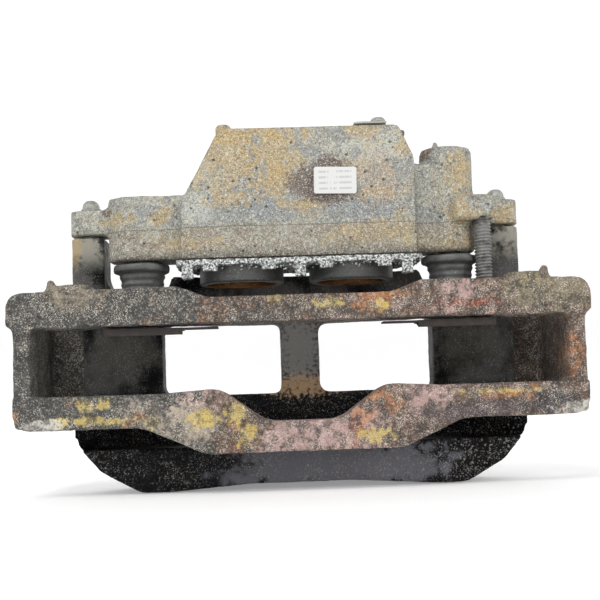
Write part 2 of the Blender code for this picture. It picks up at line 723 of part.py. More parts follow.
def guide_bore(side):
    """The bore for a guide pin's bush, blind on the short side and plugged on the long one."""
    radius = BUSH_RADIUS + GAP
    if side < 0:
        top = SHORT_LUG_TOP - 0.004
    else:
        top = LONG_LUG_TOP + CUT_PAST
    start = BLOCK_Z - CUT_PAST
    return rod(f"guide_bore_{side}", radius, (side * PIN_X, PIN_Y, start), top - start)


def block_cuts():
    cuts = [turned(f"bore_{side}", bore_profile(), (side * PISTON_X, 0, BLOCK_Z)) for side in (-1, 1)]
    cuts += [guide_bore(side) for side in (-1, 1)]
    for side in (-1, 1):
        cuts.append(rod(f"bolt_hole_{side}", BRIDGE_BOLT_RADIUS + BRIDGE_BOLT_HOLE_CLEARANCE,
                        (side * BRIDGE_BOLT_X, (EAR_FRONT + EAR_BACK) / 2, EAR_Z - CUT_PAST),
                        EAR_THICKNESS + 2 * CUT_PAST, sides=SMALL_SIDES))
    cuts.append(rod("stud_hole", STUD_RADIUS + GAP, (STUD_X, STUD_Y, EAR_Z - CUT_PAST),
                    STUD_BITE + GAP + CUT_PAST, sides=SMALL_SIDES))
    top = BLOCK_TOP + INLET_BOSS_RISE
    cuts.append(rod("inlet", INLET_RADIUS, (INLET_X, INLET_Y, top - INLET_DEPTH),
                    INLET_DEPTH + CUT_PAST, sides=SMALL_SIDES))
    cuts.append(rod("inlet_drilling", GALLERY_RADIUS, (INLET_X, INLET_Y, GALLERY_Z),
                    top - INLET_DEPTH - GALLERY_Z + 0.001, sides=10))
    cuts.append(rod("gallery", GALLERY_RADIUS, (-PISTON_X, INLET_Y, GALLERY_Z), 2 * PISTON_X,
                    axis="X", sides=10))
    cuts.append(rod("bleed_hole", BLEED_THREAD_RADIUS + GAP,
                    (BLEED_FACE_X - BLEED_THREAD_LENGTH - GAP, BLEED_Y, BLEED_Z),
                    BLEED_THREAD_LENGTH + GAP + CUT_PAST, axis="X", sides=SMALL_SIDES))
    cuts.append(rod("clip_screw_hole", CLIP_SCREW_RADIUS + GAP,
                    (CLIP_SCREW_X, CLIP_PLATE_Y, BLOCK_TOP + CLIP_PAD_RISE - CLIP_SCREW_LENGTH - GAP),
                    CLIP_SCREW_LENGTH + GAP + CUT_PAST, sides=12))
    return cuts


def build_block(alloy, housing):
    block = prism("block_core", arc_points(block_outline()), "Y", BLOCK_FRONT, BLOCK_BACK, 0.0025)
    relief = box("bleed_relief", (BLEED_FACE_X - 0.002, BLEED_Y - BLEED_BOSS_RADIUS,
                                  BLEED_Z - BLEED_HEX_ACROSS * 0.65),
                 (BLEED_FACE_X + 0.03, BLOCK_BACK + CUT_PAST, BLEED_Z + 0.02))
    # EXACT loses the core here, where bevelled bosses meet its faces, so this body uses MANIFOLD.
    cut(block, relief, solver="MANIFOLD")
    add(block, *block_shapes(), solver="MANIFOLD")
    cut(block, *block_cuts(), solver="MANIFOLD")
    return piece(block, "cylinder_block", alloy, housing)


def ring_profile(inner, outer, low, high):
    return [(inner, high), (outer, high), (outer, low), (inner, low)]


def build_hydraulics(steel, rubber, zinc, housing):
    for side, tag in ((-1, "left"), (1, "right")):
        frame = moving_frame(f"piston_frame_{tag}", (side * PISTON_X, 0, PISTON_RIM_Z))
        inner = PISTON_RADIUS - PISTON_WALL
        profile = [
            (0, PISTON_LENGTH),
            (PISTON_RADIUS - 0.0015, PISTON_LENGTH),
            (PISTON_RADIUS, PISTON_LENGTH - 0.0015),
            (PISTON_RADIUS, 0.0008),
            (PISTON_RADIUS - 0.0008, 0),
            (inner + 0.0006, 0),
            (inner, 0.0006),
            (inner, PISTON_LENGTH - PISTON_FLOOR - 0.003),
            (inner - 0.003, PISTON_LENGTH - PISTON_FLOOR),
            (0, PISTON_LENGTH - PISTON_FLOOR),
        ]
        piston = turned(f"piston_shape_{tag}", profile, (side * PISTON_X, 0, PISTON_RIM_Z))
        piece(piston, f"piston_{tag}", steel, frame)
        place = (side * PISTON_X, 0, BLOCK_Z)
        inside = PISTON_RADIUS + GAP / 2
        seal_outer = BORE_RADIUS + SEAL_DEPTH - GAP
        seal = turned(f"seal_{tag}", ring_profile(inside, seal_outer, SEAL_Z, SEAL_Z + SEAL_HEIGHT), place)
        piece(seal, f"piston_seal_{tag}", rubber, housing)
        dust_outer = BORE_RADIUS + DUST_SEAL_DEPTH - GAP
        dust_top = DUST_SEAL_Z + DUST_SEAL_HEIGHT
        dust = turned(f"dust_{tag}", ring_profile(inside, dust_outer, DUST_SEAL_Z, dust_top), place)
        piece(dust, f"dust_seal_{tag}", rubber, housing)
    build_bleeder(zinc, rubber)


def build_bleeder(zinc, rubber):
    """A bleed screw on its own axis, its hex outside the boss, and the rubber cap on its nipple."""
    frame = moving_frame("bleed_frame", (BLEED_FACE_X, BLEED_Y, BLEED_Z))
    start = BLEED_FACE_X + GAP
    hexed = [(y, z, 0) for y, z in hexagon(BLEED_HEX_ACROSS)]
    screw = prism("bleed_hex", arc_points(hexed), "Z", 0, BLEED_HEX_LENGTH)
    sideways = Matrix.Translation((start, BLEED_Y, BLEED_Z)) @ Matrix.Rotation(math.pi / 2, 4, "Y")
    screw.data.transform(sideways)
    add(screw, rod("bleed_thread", BLEED_THREAD_RADIUS,
                   (BLEED_FACE_X - BLEED_THREAD_LENGTH, BLEED_Y, BLEED_Z),
                   BLEED_THREAD_LENGTH + 0.002, axis="X", sides=SMALL_SIDES))
    add(screw, rod("bleed_nipple", BLEED_NIPPLE_RADIUS, (start + BLEED_HEX_LENGTH - 0.001, BLEED_Y, BLEED_Z),
                   BLEED_NIPPLE_LENGTH + 0.001, axis="X", sides=SMALL_SIDES))
    piece(screw, "bleed_screw", zinc, frame)
    cap_start = start + BLEED_HEX_LENGTH + GAP
    cap = rod("cap_shape", CAP_RADIUS, (cap_start, BLEED_Y, BLEED_Z), CAP_LENGTH, axis="X",
              sides=SMALL_SIDES, end_radius=CAP_TIP_RADIUS, edge=0.0006)
    cut(cap, rod("cap_hole", BLEED_NIPPLE_RADIUS + GAP, (cap_start - CUT_PAST, BLEED_Y, BLEED_Z),
                 BLEED_NIPPLE_LENGTH + CUT_PAST, axis="X", sides=SMALL_SIDES))
    piece(cap, "bleed_cap", rubber, frame)


def build_retainer(crust, housing):
    """The steel plate that holds the dust seals in, with its bent legs and tabs along the front."""
    half = PLATE_DEPTH / 2
    rear_half = PISTON_X + PISTON_RADIUS - 0.001
    outline = [
        (PLATE_LEFT, -half, 0.004),
        (PLATE_RIGHT, -half, 0.004),
        (PLATE_RIGHT, PLATE_SIDE_Y, 0.004),
        (rear_half, half, 0.010),
        (-rear_half, half, 0.010),
        (PLATE_LEFT, PLATE_SIDE_Y, 0.004),
    ]
    plate = prism("retainer_sheet", arc_points(outline), "Z", PLATE_Z, PLATE_TOP)
    for side in (-1, 1):
        cut(plate, rod(f"plate_hole_{side}", PISTON_RADIUS + PLATE_HOLE_CLEARANCE,
                       (side * PISTON_X, 0, PLATE_Z - CUT_PAST), PLATE_THICKNESS + 2 * CUT_PAST))
    legs = ("leg", LEG_XS, LEG_WIDTH, LEG_DROP, LEG_DEPTH)
    tabs = ("tab", TAB_XS, TAB_WIDTH, TAB_DROP, TAB_DEPTH)
    for group, xs, width, drop, depth in (legs, tabs):
        for i, x in enumerate(xs):
            add(plate, box(f"{group}_{i}", (x - width / 2, -half + 0.0002, PLATE_Z - drop),
                           (x + width / 2, -half + depth, PLATE_Z + 0.001)))
    piece(plate, "boot_retainer_plate", crust, housing)


def build_guide_seals(rubber, steel, housing):
    """The bushes in the guide bores, the plug of the long one, and the boots round the pins."""
    for side, tag in ((-1, "left"), (1, "right")):
        place = (side * PIN_X, PIN_Y, BLOCK_Z + 0.002)
        inner = PIN_RADIUS + GAP
        bush = turned(f"bush_{tag}", ring_profile(inner, BUSH_RADIUS, 0, BUSH_LENGTH), place, SMALL_SIDES)
        piece(bush, f"guide_bush_{tag}", rubber, housing)
        length = BOOT_LENGTH - 2 * GAP
        waist = BOOT_BODY_RADIUS
        hollow = PIN_COLLAR_RADIUS + BOOT_HOLLOW
        profile = [
            (waist, length),
            (BOOT_RING_RADIUS, length),
            (BOOT_RING_RADIUS, length - BOOT_RING_HEIGHT),
            (waist, length - BOOT_RING_HEIGHT),
            (waist + 0.0008, length * 0.55),
            (waist - 0.0006, length * 0.42),
            (waist + 0.0008, length * 0.28),
            (waist, 0.0015),
            (waist, 0),
            (hollow, 0),
            (hollow, length),
        ]
        boot = turned(f"boot_{tag}", profile, (side * PIN_X, PIN_Y, INNER_BAR_TOP + GAP))
        piece(boot, f"guide_boot_{tag}", rubber, housing)
    plug = rod("plug_shape", BUSH_RADIUS, (PIN_X, PIN_Y, LONG_LUG_TOP - BORE_PLUG_HEIGHT), BORE_PLUG_HEIGHT,
               sides=SMALL_SIDES)
    add(plug, rod("plug_nib", 0.0026, (PIN_X - 0.0055, PIN_Y - 0.001, LONG_LUG_TOP - 0.001),
                  BORE_PLUG_NIB + 0.001, sides=10, end_radius=0.0008))
    piece(plug, "guide_bore_plug", steel, housing)


# ---------------------------------------------------------------- bridge yoke


def yoke_front_outline():
    """The yoke's outline from the hub side: its chamfered foot, panels, shoulders and raised crown."""
    half = [
        (WALL_RELIEF_HALF, WALL_RELIEF, 0.060),
        (YOKE_HALF - FOOT_HALF_INSET, 0, 0.060),
        (YOKE_HALF - FOOT_CORNER_INSET, 0, 0.012),
        (YOKE_HALF - FOOT_CHAMFER_INSET, FOOT_CHAMFER_Z, 0.020),
        (YOKE_HALF, FOOT_TOP_Z, 0.012),
        (YOKE_HALF, OUTER_BEAM_Z + 0.002, 0.004),
        (PANEL_HALF, OUTER_BEAM_Z + 0.012, 0.004),
        (PANEL_HALF, BRIDGE_TOP, 0),
        (CROWN_HALF + CROWN_RAMP, BRIDGE_TOP, 0.003),
        (CROWN_HALF, CROWN_TOP, 0.003),
    ]
    return both_sides(half)


def tower_outline(side):
    """A tower that meets the block's ear, flaring inwards into the yoke's shoulder."""
    low = INNER_BAR_Z + 0.0035
    corners = [
        (side * EAR_OUTER_X, low + 0.006, 0.005),
        (side * EAR_OUTER_X, EAR_Z - GAP, 0),
        (side * EAR_INNER_X, EAR_Z - GAP, 0),
        (side * EAR_INNER_X, BRIDGE_TOP + 0.001, SHOULDER_ROUND),
        (side * (EAR_INNER_X - 0.020), BRIDGE_TOP - 0.003, 0),
        (side * (EAR_INNER_X - 0.020), low, 0),
        (side * (EAR_OUTER_X - 0.006), low, 0.004),
    ]
    return arc_points(corners)


def build_yoke(iron, housing):
    plan = disc_arc(BRIDGE_OUTER, YOKE_HALF + 0.004) + disc_arc(BRIDGE_INNER, YOKE_HALF + 0.004)[::-1]
    yoke = prism("bridge_shell", plan, "Z", -0.001, CROWN_TOP + CUT_PAST)
    inset = DISC_CLEARANCE + BRIDGE_THICKNESS / 2
    finger_plan = [(x, y, 0) for x, y in disc_arc(DISC_RADIUS + inset, YOKE_HALF - 0.002, 16)]
    finger_plan += [(YOKE_HALF - 0.002, WALL_FRONT, 0.004), (0.002 - YOKE_HALF, WALL_FRONT, 0.004)]
    add(yoke, prism("outboard_wall", arc_points(finger_plan), "Z", -0.0012, WALL_THICKNESS, 0.0))
    front = prism("yoke_front", arc_points(yoke_front_outline()), "Y", WALL_FRONT - 0.010, 0.080)
    keep_inside(yoke, front)
    for side in (-1, 1):
        tower = prism(f"tower_{side}", tower_outline(side), "Y", EAR_FRONT, EAR_BACK + 0.012, 0.0)
        keep_inside(tower, tower_limit(side))
        add(yoke, tower)
    for name, low, high in (("left", -PANEL_INNER_X, STRUT_LEFT), ("right", STRUT_RIGHT, PANEL_INNER_X)):
        corners = [
            (low, WINDOW_Z, 0.005),
            (high, WINDOW_Z, 0.003),
            (high, WINDOW_Z + WINDOW_HEIGHT, 0.003),
            (low, WINDOW_Z + WINDOW_HEIGHT, 0.005),
        ]
        cut(yoke, prism(f"window_{name}", arc_points(corners), "Y", 0.0, 0.070))
    for side in (-1, 1):
        cut(yoke, rod(f"tower_hole_{side}", BRIDGE_BOLT_RADIUS + GAP,
                      (side * BRIDGE_BOLT_X, (EAR_FRONT + EAR_BACK) / 2,
                       EAR_TOP - BRIDGE_BOLT_LENGTH - GAP), BRIDGE_BOLT_LENGTH, sides=SMALL_SIDES))
    cut(yoke, rod("strut_hole", STRUT_HOLE_RADIUS, (STRUT_HOLE_X, 0.02, STRUT_HOLE_Z), 0.05,
                  axis="Y", sides=10))
    return piece(yoke, "bridge_yoke", iron, housing)


def tower_limit(side):
    """Plan of a tower: the ear's own outline at the top, and the bridge shell's band beside it."""
    xs = (EAR_OUTER_X, EAR_INNER_X)
    inner = [p for p in disc_arc(BRIDGE_INNER, EAR_INNER_X, 30) if p[0] > EAR_INNER_X - 0.022]
    outer = [p for p in disc_arc(BRIDGE_OUTER, EAR_INNER_X, 30) if p[0] > EAR_INNER_X - 0.022]
    plan = [(xs[0], EAR_FRONT, EAR_ROUND), (xs[0], EAR_BACK, EAR_ROUND)]
    plan += [(x, y - 0.0006, 0) for x, y in outer[::-1]]
    plan += [(x, y + 0.0006, 0) for x, y in inner]
    plan += [(xs[1], EAR_FRONT, 0.002)]
    plan = [(side * x, y, radius) for x, y, radius in plan]
    return prism(f"tower_plan_{side}", arc_points(plan), "Z", INNER_BAR_Z, EAR_Z + 0.01)


def build_bridge_bolts(zinc, steel, housing):
    middle = (EAR_FRONT + EAR_BACK) / 2
    for side, tag in ((-1, "left"), (1, "right")):
        head = BRIDGE_BOLT_HEAD_HEIGHT
        profile = [
            (0, head),
            (BRIDGE_BOLT_HEAD_RADIUS - 0.0022, head),
            (BRIDGE_BOLT_HEAD_RADIUS - 0.0006, head - 0.0009),
            (BRIDGE_BOLT_HEAD_RADIUS, head - 0.0025),
            (BRIDGE_BOLT_HEAD_RADIUS, GAP),
            (BRIDGE_BOLT_RADIUS, GAP),
            (BRIDGE_BOLT_RADIUS, -BRIDGE_BOLT_LENGTH + 0.001),
            (BRIDGE_BOLT_RADIUS - 0.001, -BRIDGE_BOLT_LENGTH),
            (0, -BRIDGE_BOLT_LENGTH),
        ]
        bolt = turned(f"bolt_{tag}", profile, (side * BRIDGE_BOLT_X, middle, EAR_TOP), SMALL_SIDES)
        piece(bolt, f"bridge_bolt_{tag}", zinc, housing)
    foot = INNER_BAR_TOP - STUD_DIP
    stud = rod("stud_shape", STUD_RADIUS, (STUD_X, STUD_Y, foot), EAR_Z + STUD_BITE - foot,
               sides=SMALL_SIDES, edge=0.0006)
    piece(stud, "threaded_stud", steel, housing)


# ---------------------------------------------------------------- small parts on the block


def build_trim(paper, bright, zinc, housing):
    low = BLOCK_TOP + CLIP_PAD_RISE + GAP
    plate = box("plate_sheet", (CLIP_PLATE_LEFT, CLIP_PLATE_Y - CLIP_PLATE_WIDTH / 2, low),
                (CLIP_PLATE_RIGHT, CLIP_PLATE_Y + CLIP_PLATE_WIDTH / 2, low + CLIP_PLATE_THICKNESS), 0.0003)
    cut(plate, rod("plate_screw_hole", CLIP_SCREW_RADIUS + GAP, (CLIP_SCREW_X, CLIP_PLATE_Y, low - CUT_PAST),
                   CLIP_PLATE_THICKNESS + 2 * CUT_PAST, sides=12))
    piece(plate, "clip_plate", bright, housing)
    seat = low + CLIP_PLATE_THICKNESS + GAP
    profile = [
        (0, 0.0026),
        (CLIP_SCREW_HEAD_RADIUS - 0.0010, 0.0026),
        (CLIP_SCREW_HEAD_RADIUS, 0.0014),
        (CLIP_SCREW_HEAD_RADIUS, 0),
        (CLIP_SCREW_RADIUS, 0),
        (CLIP_SCREW_RADIUS, -CLIP_SCREW_LENGTH),
        (0, -CLIP_SCREW_LENGTH),
    ]
    screw = turned("clip_screw_shape", profile, (CLIP_SCREW_X, CLIP_PLATE_Y, seat), 12)
    piece(screw, "clip_screw", zinc, housing)
    front = min(BLOCK_FRONT, -BARREL_RADIUS) - GAP
    label = box("label_sheet", (-LABEL_WIDTH / 2, -LABEL_THICKNESS, -LABEL_HEIGHT / 2),
                (LABEL_WIDTH / 2, 0, LABEL_HEIGHT / 2))
    turn = Matrix.Translation((LABEL_X, front, BLOCK_Z + LABEL_Z)) @ Matrix.Rotation(LABEL_TURN, 4, "Y")
    label.data.transform(turn)
    piece(label, "label", paper, housing)


def main():
    clear_scene()
    carrier_iron = finish("carrier iron", (0.16, 0.13, 0.11), 0.85, 0.3)
    yoke_iron = finish("yoke iron", (0.07, 0.075, 0.085), 0.75, 0.3)
    alloy = finish("cast alloy", (0.50, 0.47, 0.38), 0.7, 0.5)
    steel = finish("pin steel", (0.35, 0.35, 0.36), 0.4, 0.9)
    piston_steel = finish("piston steel", (0.18, 0.18, 0.18), 0.4, 0.8)
    zinc = finish("zinc plate", (0.55, 0.55, 0.53), 0.4, 0.9)
    bright = finish("bright sheet", (0.75, 0.76, 0.76), 0.3, 0.9)
    spring = finish("spring sheet", (0.22, 0.17, 0.13), 0.6, 0.6)
    crust = finish("oxide crust", (0.75, 0.77, 0.79), 0.9, 0.0)
    rubber = finish("black rubber", (0.04, 0.04, 0.045), 0.5, 0.0)
    paper = finish("label paper", (0.93, 0.92, 0.90), 0.6, 0.0)

    build_carrier(carrier_iron)
    build_guide_pins(steel, zinc)
    build_pad_clips(spring)

    housing = moving_frame("housing_frame", (0, PIN_Y, BLOCK_Z))
    build_block(alloy, housing)
    build_yoke(yoke_iron, housing)
    build_bridge_bolts(zinc, steel, housing)
    build_retainer(crust, housing)
    build_guide_seals(rubber, steel, housing)
    build_hydraulics(piston_steel, rubber, zinc, housing)
    build_trim(paper, bright, zinc, housing)


main()
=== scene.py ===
"""Finishes a brake caliper: rough castings, threads, bellows, rust and grime, and a studio."""
import math
import random

import bpy
from bpy.props import FloatProperty, FloatVectorProperty, IntProperty, PointerProperty
from mathutils import Matrix, Vector


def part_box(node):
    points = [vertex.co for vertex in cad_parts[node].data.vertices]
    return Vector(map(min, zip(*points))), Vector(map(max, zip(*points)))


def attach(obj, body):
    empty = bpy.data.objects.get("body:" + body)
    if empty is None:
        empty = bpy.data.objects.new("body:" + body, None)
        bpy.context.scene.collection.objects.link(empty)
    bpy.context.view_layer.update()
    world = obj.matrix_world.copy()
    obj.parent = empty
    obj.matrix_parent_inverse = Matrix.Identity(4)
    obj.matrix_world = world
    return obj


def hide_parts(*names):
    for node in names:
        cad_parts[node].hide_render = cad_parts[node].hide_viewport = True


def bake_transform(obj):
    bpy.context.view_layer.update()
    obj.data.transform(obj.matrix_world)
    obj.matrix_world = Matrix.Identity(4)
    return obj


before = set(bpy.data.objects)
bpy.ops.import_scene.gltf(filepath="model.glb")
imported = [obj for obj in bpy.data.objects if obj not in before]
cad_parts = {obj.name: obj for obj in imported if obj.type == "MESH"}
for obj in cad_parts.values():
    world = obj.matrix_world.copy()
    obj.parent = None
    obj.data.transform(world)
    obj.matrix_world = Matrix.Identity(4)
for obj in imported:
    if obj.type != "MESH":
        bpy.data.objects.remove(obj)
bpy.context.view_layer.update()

bl_info = {
    "name": "Brake Caliper Finish",
    "version": (1, 0, 0),
    "blender": (4, 5, 0),
    "location": "3D View > Sidebar > Caliper",
    "description": "Adds the cast, rusted and rubber surfaces of a used floating brake caliper",
    "category": "Object",
}

LEFT, RIGHT = "left", "right"
SOFT_EDGE_ANGLE = math.radians(35)
BLOCK_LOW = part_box("cylinder_block")[0]
CARRIER_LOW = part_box("carrier_frame")[0]
BLOCK_SEAT = 0.152  # height of the ears' faces under the domed bolts
WELD = 0.00001

# The smaller tints that are mixed into the finishes.
ALLOY_SHADE = (0.20, 0.19, 0.155)
ALLOY_TAN = (0.40, 0.30, 0.22)
ALLOY_PIT = (0.075, 0.068, 0.055)
ALLOY_SPARK = (0.80, 0.78, 0.68)
IRON_TAN = (0.52, 0.44, 0.35)
IRON_PLUM = (0.09, 0.065, 0.072)
IRON_BLUE = (0.045, 0.046, 0.060)
IRON_SAND = (0.30, 0.25, 0.18)
# Painted shade for the carrier's recesses.
IRON_RECESS_SHADE = (0.035, 0.028, 0.025)
IRON_DUST = (0.34, 0.30, 0.24)
IRON_CHALK = (0.58, 0.54, 0.46)
IRON_SALT = (0.88, 0.82, 0.70)
PAINT_BLOOM = (0.0065, 0.0068, 0.0090)
# Lighter grey painted on the upper yoke as painted light, above the near-black painted shade of the
# wall.
PAINT_UPPER_LIT = (0.125, 0.121, 0.115)
PAINT_STRUT = (0.31, 0.295, 0.28)
PAINT_FOOT = (0.56, 0.36, 0.20)
PAINT_PANEL = (0.10, 0.088, 0.070)
PAINT_TOWER = (0.33, 0.32, 0.27)
PAINT_CHALK = (0.40, 0.39, 0.37)
PAINT_DUST = (0.30, 0.28, 0.25)
PAINT_SPECK = (0.36, 0.35, 0.33)
CRUST_GREY = (0.34, 0.36, 0.35)
CRUST_WHITE = (0.80, 0.82, 0.80)
RUBBER_HAZE = (0.17, 0.175, 0.165)
RUBBER_DUST = (0.36, 0.35, 0.31)
METAL_PIT = (0.03, 0.027, 0.025)
PISTON_HAZE = (0.17, 0.17, 0.165)
PISTON_CHAR = (0.035, 0.018, 0.006)
PISTON_SPECK = (0.34, 0.34, 0.32)
LABEL_GREY = (0.40, 0.40, 0.41)
LABEL_DIRT = (0.62, 0.58, 0.50)
PAPER_SHADE = (0.88, 0.88, 0.885)


# ---------------------------------------------------------------- sizes and colours


def length(name, description, default):
    return FloatProperty(name=name, description=description, default=default, min=0.0,
                         unit="LENGTH", precision=5)


def colour(name, description, default):
    return FloatVectorProperty(name=name, description=description, default=default,
                               subtype="COLOR", min=0.0, max=1.0)


class CaliperSizes(bpy.types.PropertyGroup):
    """Sizes of the surface detail"""

    cast_grain: length("Cast grain", "Size of one cell of a casting's skin", 0.00135)
    cast_wear: length("Cast wear", "Depth of the broad hollows in a casting's skin", 0.0007)
    cast_pits: length("Cast pits", "Depth of the fine pits in a casting's skin", 0.0005)
    crust_grain: length("Crust grain", "Size of one cell of the corroded plate's skin", 0.0008)
    crust_depth: length("Crust depth", "Height of the corrosion on the retainer plate", 0.0014)
    flake_size: length("Flake size", "Width of a common flake of corrosion", 0.0011)
    flake_count: IntProperty(name="Flakes", description="How many flakes hang on the plate",
                             default=520, min=0)
    edge: length("Edge", "Bevel on the edges of a machined part", 0.0003)
    thread_pitch: length("Thread pitch", "Rise of the stud's thread in one turn", 0.00175)
    thread_depth: length("Thread depth", "Depth of the stud's thread", 0.0009)
    boot_fold: length("Boot fold", "Depth of a fold in a guide boot", 0.0009)
    label_corner: length("Label corner", "Radius of the label's corners", 0.0012)


class CaliperColours(bpy.types.PropertyGroup):
    """Colours of the finishes"""

    alloy: colour("Alloy", "Bare cast alloy of the cylinder block", (0.37, 0.36, 0.30))
    alloy_blue: colour("Blue alloy", "Cooler patches of the alloy", (0.22, 0.245, 0.26))
    alloy_bloom: colour("Alloy bloom", "White oxide on the alloy", (0.66, 0.67, 0.60))
    ochre: colour("Ochre", "Baked golden deposit on the block", (0.47, 0.33, 0.13))
    grime: colour("Grime", "Brown road dirt on the block", (0.30, 0.24, 0.16))
    glue: colour("Glue stain", "Old adhesive round the label", (0.115, 0.075, 0.062))
    soot: colour("Soot", "Darkest specks and pits", (0.030, 0.027, 0.025))
    iron: colour("Iron", "Grey of the carrier's left half", (0.062, 0.062, 0.060))
    rust: colour("Rust", "Brown rust", (0.125, 0.072, 0.048))
    rust_bright: colour("Bright rust", "Fresh orange rust", (0.58, 0.22, 0.06))
    rust_red: colour("Red rust", "Deep red rust", (0.27, 0.055, 0.025))
    mauve: colour("Mauve", "Pinkish mineral film on the rust", (0.50, 0.335, 0.305))
    lichen: colour("Yellow deposit", "Yellow deposit on the iron", (0.66, 0.50, 0.13))
    chalk: colour("Chalk", "White mineral specks", (0.72, 0.70, 0.64))
    olive: colour("Olive", "Olive dirt on the right end", (0.26, 0.22, 0.14))
    # The charcoal is real black paint, darkened further to serve as painted shade on the lower face of
    # the yoke's wall.
    charcoal_and_shade: colour("Charcoal", "Old paint of the yoke", (0.0018, 0.0018, 0.0026))
    slate: colour("Slate", "Worn paint on the yoke's wall", (0.130, 0.130, 0.148))
    amber: colour("Amber", "Varnished brake dust inside a piston", (0.20, 0.085, 0.018))
    piston: colour("Piston", "Coated steel of a piston", (0.105, 0.108, 0.105))
    steel: colour("Steel", "Plain steel", (0.42, 0.42, 0.41))
    rubber: colour("Rubber", "Aged rubber", (0.090, 0.094, 0.090))
    paper: colour("Paper", "Face of the label", (0.66, 0.66, 0.645))
    studio: colour("Studio", "Floor and wall of the studio", (0.90, 0.90, 0.90))


# ---------------------------------------------------------------- layered materials


class Coat:
    """A material built up in layers, each laid over the last through a mask."""

    def __init__(self, name, base, roughness, metallic=0.0):
        self.material = bpy.data.materials.new(name)
        self.material.use_nodes = True
        self.nodes = self.material.node_tree.nodes
        self.links = self.material.node_tree.links
        self.shader = self.nodes["Principled BSDF"]
        self.shader.inputs["Metallic"].default_value = metallic
        self.shader.inputs["Roughness"].default_value = roughness
        self.place = self.nodes.new("ShaderNodeTexCoord").outputs["Object"]
        self.paint = tuple(base) + (1.0,)
        self.normal = None

    def wire(self, value, socket):
        if isinstance(value, bpy.types.NodeSocket):
            self.links.new(value, socket)
        else:
            socket.default_value = value

    def sum(self, operation, first, second=0.0):
        node = self.nodes.new("ShaderNodeMath")
        node.operation = operation
        self.wire(first, node.inputs[0])
        self.wire(second, node.inputs[1])
        return node.outputs[0]

    def vector(self, operation, first, second, output="Vector"):
        node = self.nodes.new("ShaderNodeVectorMath")
        node.operation = operation
        self.wire(first, node.inputs[0])
        self.wire(second, node.inputs[1])
        return node.outputs[output]

    def noise(self, size, detail=4.0, stretch=(1, 1, 1)):
        """Cloudy noise whose features are about this many metres wide."""
        node = self.nodes.new("ShaderNodeTexNoise")
        node.inputs["Scale"].default_value = 1.0 / size
        node.inputs["Detail"].default_value = detail
        node.inputs["Roughness"].default_value = 0.62
        place = self.place
        if stretch != (1, 1, 1):
            place = self.vector("MULTIPLY", self.place, stretch)
        self.links.new(place, node.inputs["Vector"])
        return node.outputs["Fac"]

    def cells(self, size, randomness=1.0):
        node = self.nodes.new("ShaderNodeTexVoronoi")
        node.inputs["Scale"].default_value = 1.0 / size
        node.inputs["Randomness"].default_value = randomness
        self.links.new(self.place, node.inputs["Vector"])
        return node.outputs["Distance"]

    def between(self, value, low, high):
        """0 at low and 1 at high, smoothly; low may be the larger."""
        node = self.nodes.new("ShaderNodeMapRange")
        node.interpolation_type = "SMOOTHSTEP"
        self.wire(value, node.inputs["Value"])
        node.inputs["From Min"].default_value = low
        node.inputs["From Max"].default_value = high
        return node.outputs["Result"]

    def axis(self, name):
        node = self.nodes.new("ShaderNodeSeparateXYZ")
        self.links.new(self.place, node.inputs["Vector"])
        return node.outputs[name]

    def mean(self, first, second):
        return self.sum("MULTIPLY", self.sum("ADD", first, second), 0.5)

    def near(self, centre, reach, ragged=None, rough=1.1):
        """A ragged patch round a point, 1 inside and 0 outside."""
        away = self.vector("SUBTRACT", self.place, centre)
        away = self.vector("DIVIDE", away, reach)
        away = self.vector("LENGTH", away, (0, 0, 0), output="Value")
        if ragged is not None:
            shift = self.sum("MULTIPLY", self.sum("SUBTRACT", ragged, 0.5), 2 * rough)
            away = self.sum("ADD", away, shift)
        return self.between(away, 1.20, 0.62)

    def both(self, first, second):
        return self.sum("MULTIPLY", first, second)

    def lay(self, mask, colour, amount=1.0):
        """Lays a colour over what is there."""
        node = self.nodes.new("ShaderNodeMix")
        node.data_type = "RGBA"
        if amount != 1.0:
            mask = self.sum("MULTIPLY", mask, amount)
        self.wire(mask, node.inputs["Factor"])
        self.wire(self.paint, node.inputs["A"])
        self.wire(tuple(colour) + (1.0,), node.inputs["B"])
        self.paint = node.outputs["Result"]

    def grain(self, value, dark, light, spread, amount):
        """Darkens where the noise is low and lightens where it is high, by smooth steps."""
        self.lay(self.between(value, 0.5 - spread * 0.15, 0.5 - spread), dark, amount)
        self.lay(self.between(value, 0.5 + spread * 0.15, 0.5 + spread), light, amount)

    def shine(self, value, low, high):
        """Roughness that runs from low to high with this value."""
        node = self.nodes.new("ShaderNodeMapRange")
        self.wire(value, node.inputs["Value"])
        node.inputs["To Min"].default_value = low
        node.inputs["To Max"].default_value = high
        self.links.new(node.outputs["Result"], self.shader.inputs["Roughness"])

    def relief(self, height, depth, strength=1.0):
        """Fine bumps of this depth in metres."""
        node = self.nodes.new("ShaderNodeBump")
        node.inputs["Strength"].default_value = strength
        node.inputs["Distance"].default_value = depth
        self.links.new(height, node.inputs["Height"])
        if self.normal is not None:
            self.links.new(self.normal, node.inputs["Normal"])
        self.normal = node.outputs["Normal"]

    def finish(self):
        self.wire(self.paint, self.shader.inputs["Base Color"])
        if self.normal is not None:
            self.links.new(self.normal, self.shader.inputs["Normal"])
        return self.material


def patches(coat, places, paint, ragged, amount=1.0, front=BLOCK_LOW[1], depth=0.060, rough=2.6):
    """The same colour in ragged patches at (x, z, half width, half height) on the front."""
    for x, z, wide, high in places:
        mask = coat.near((x, front, z), (wide, depth, high), ragged, rough)
        coat.lay(mask, paint, amount)


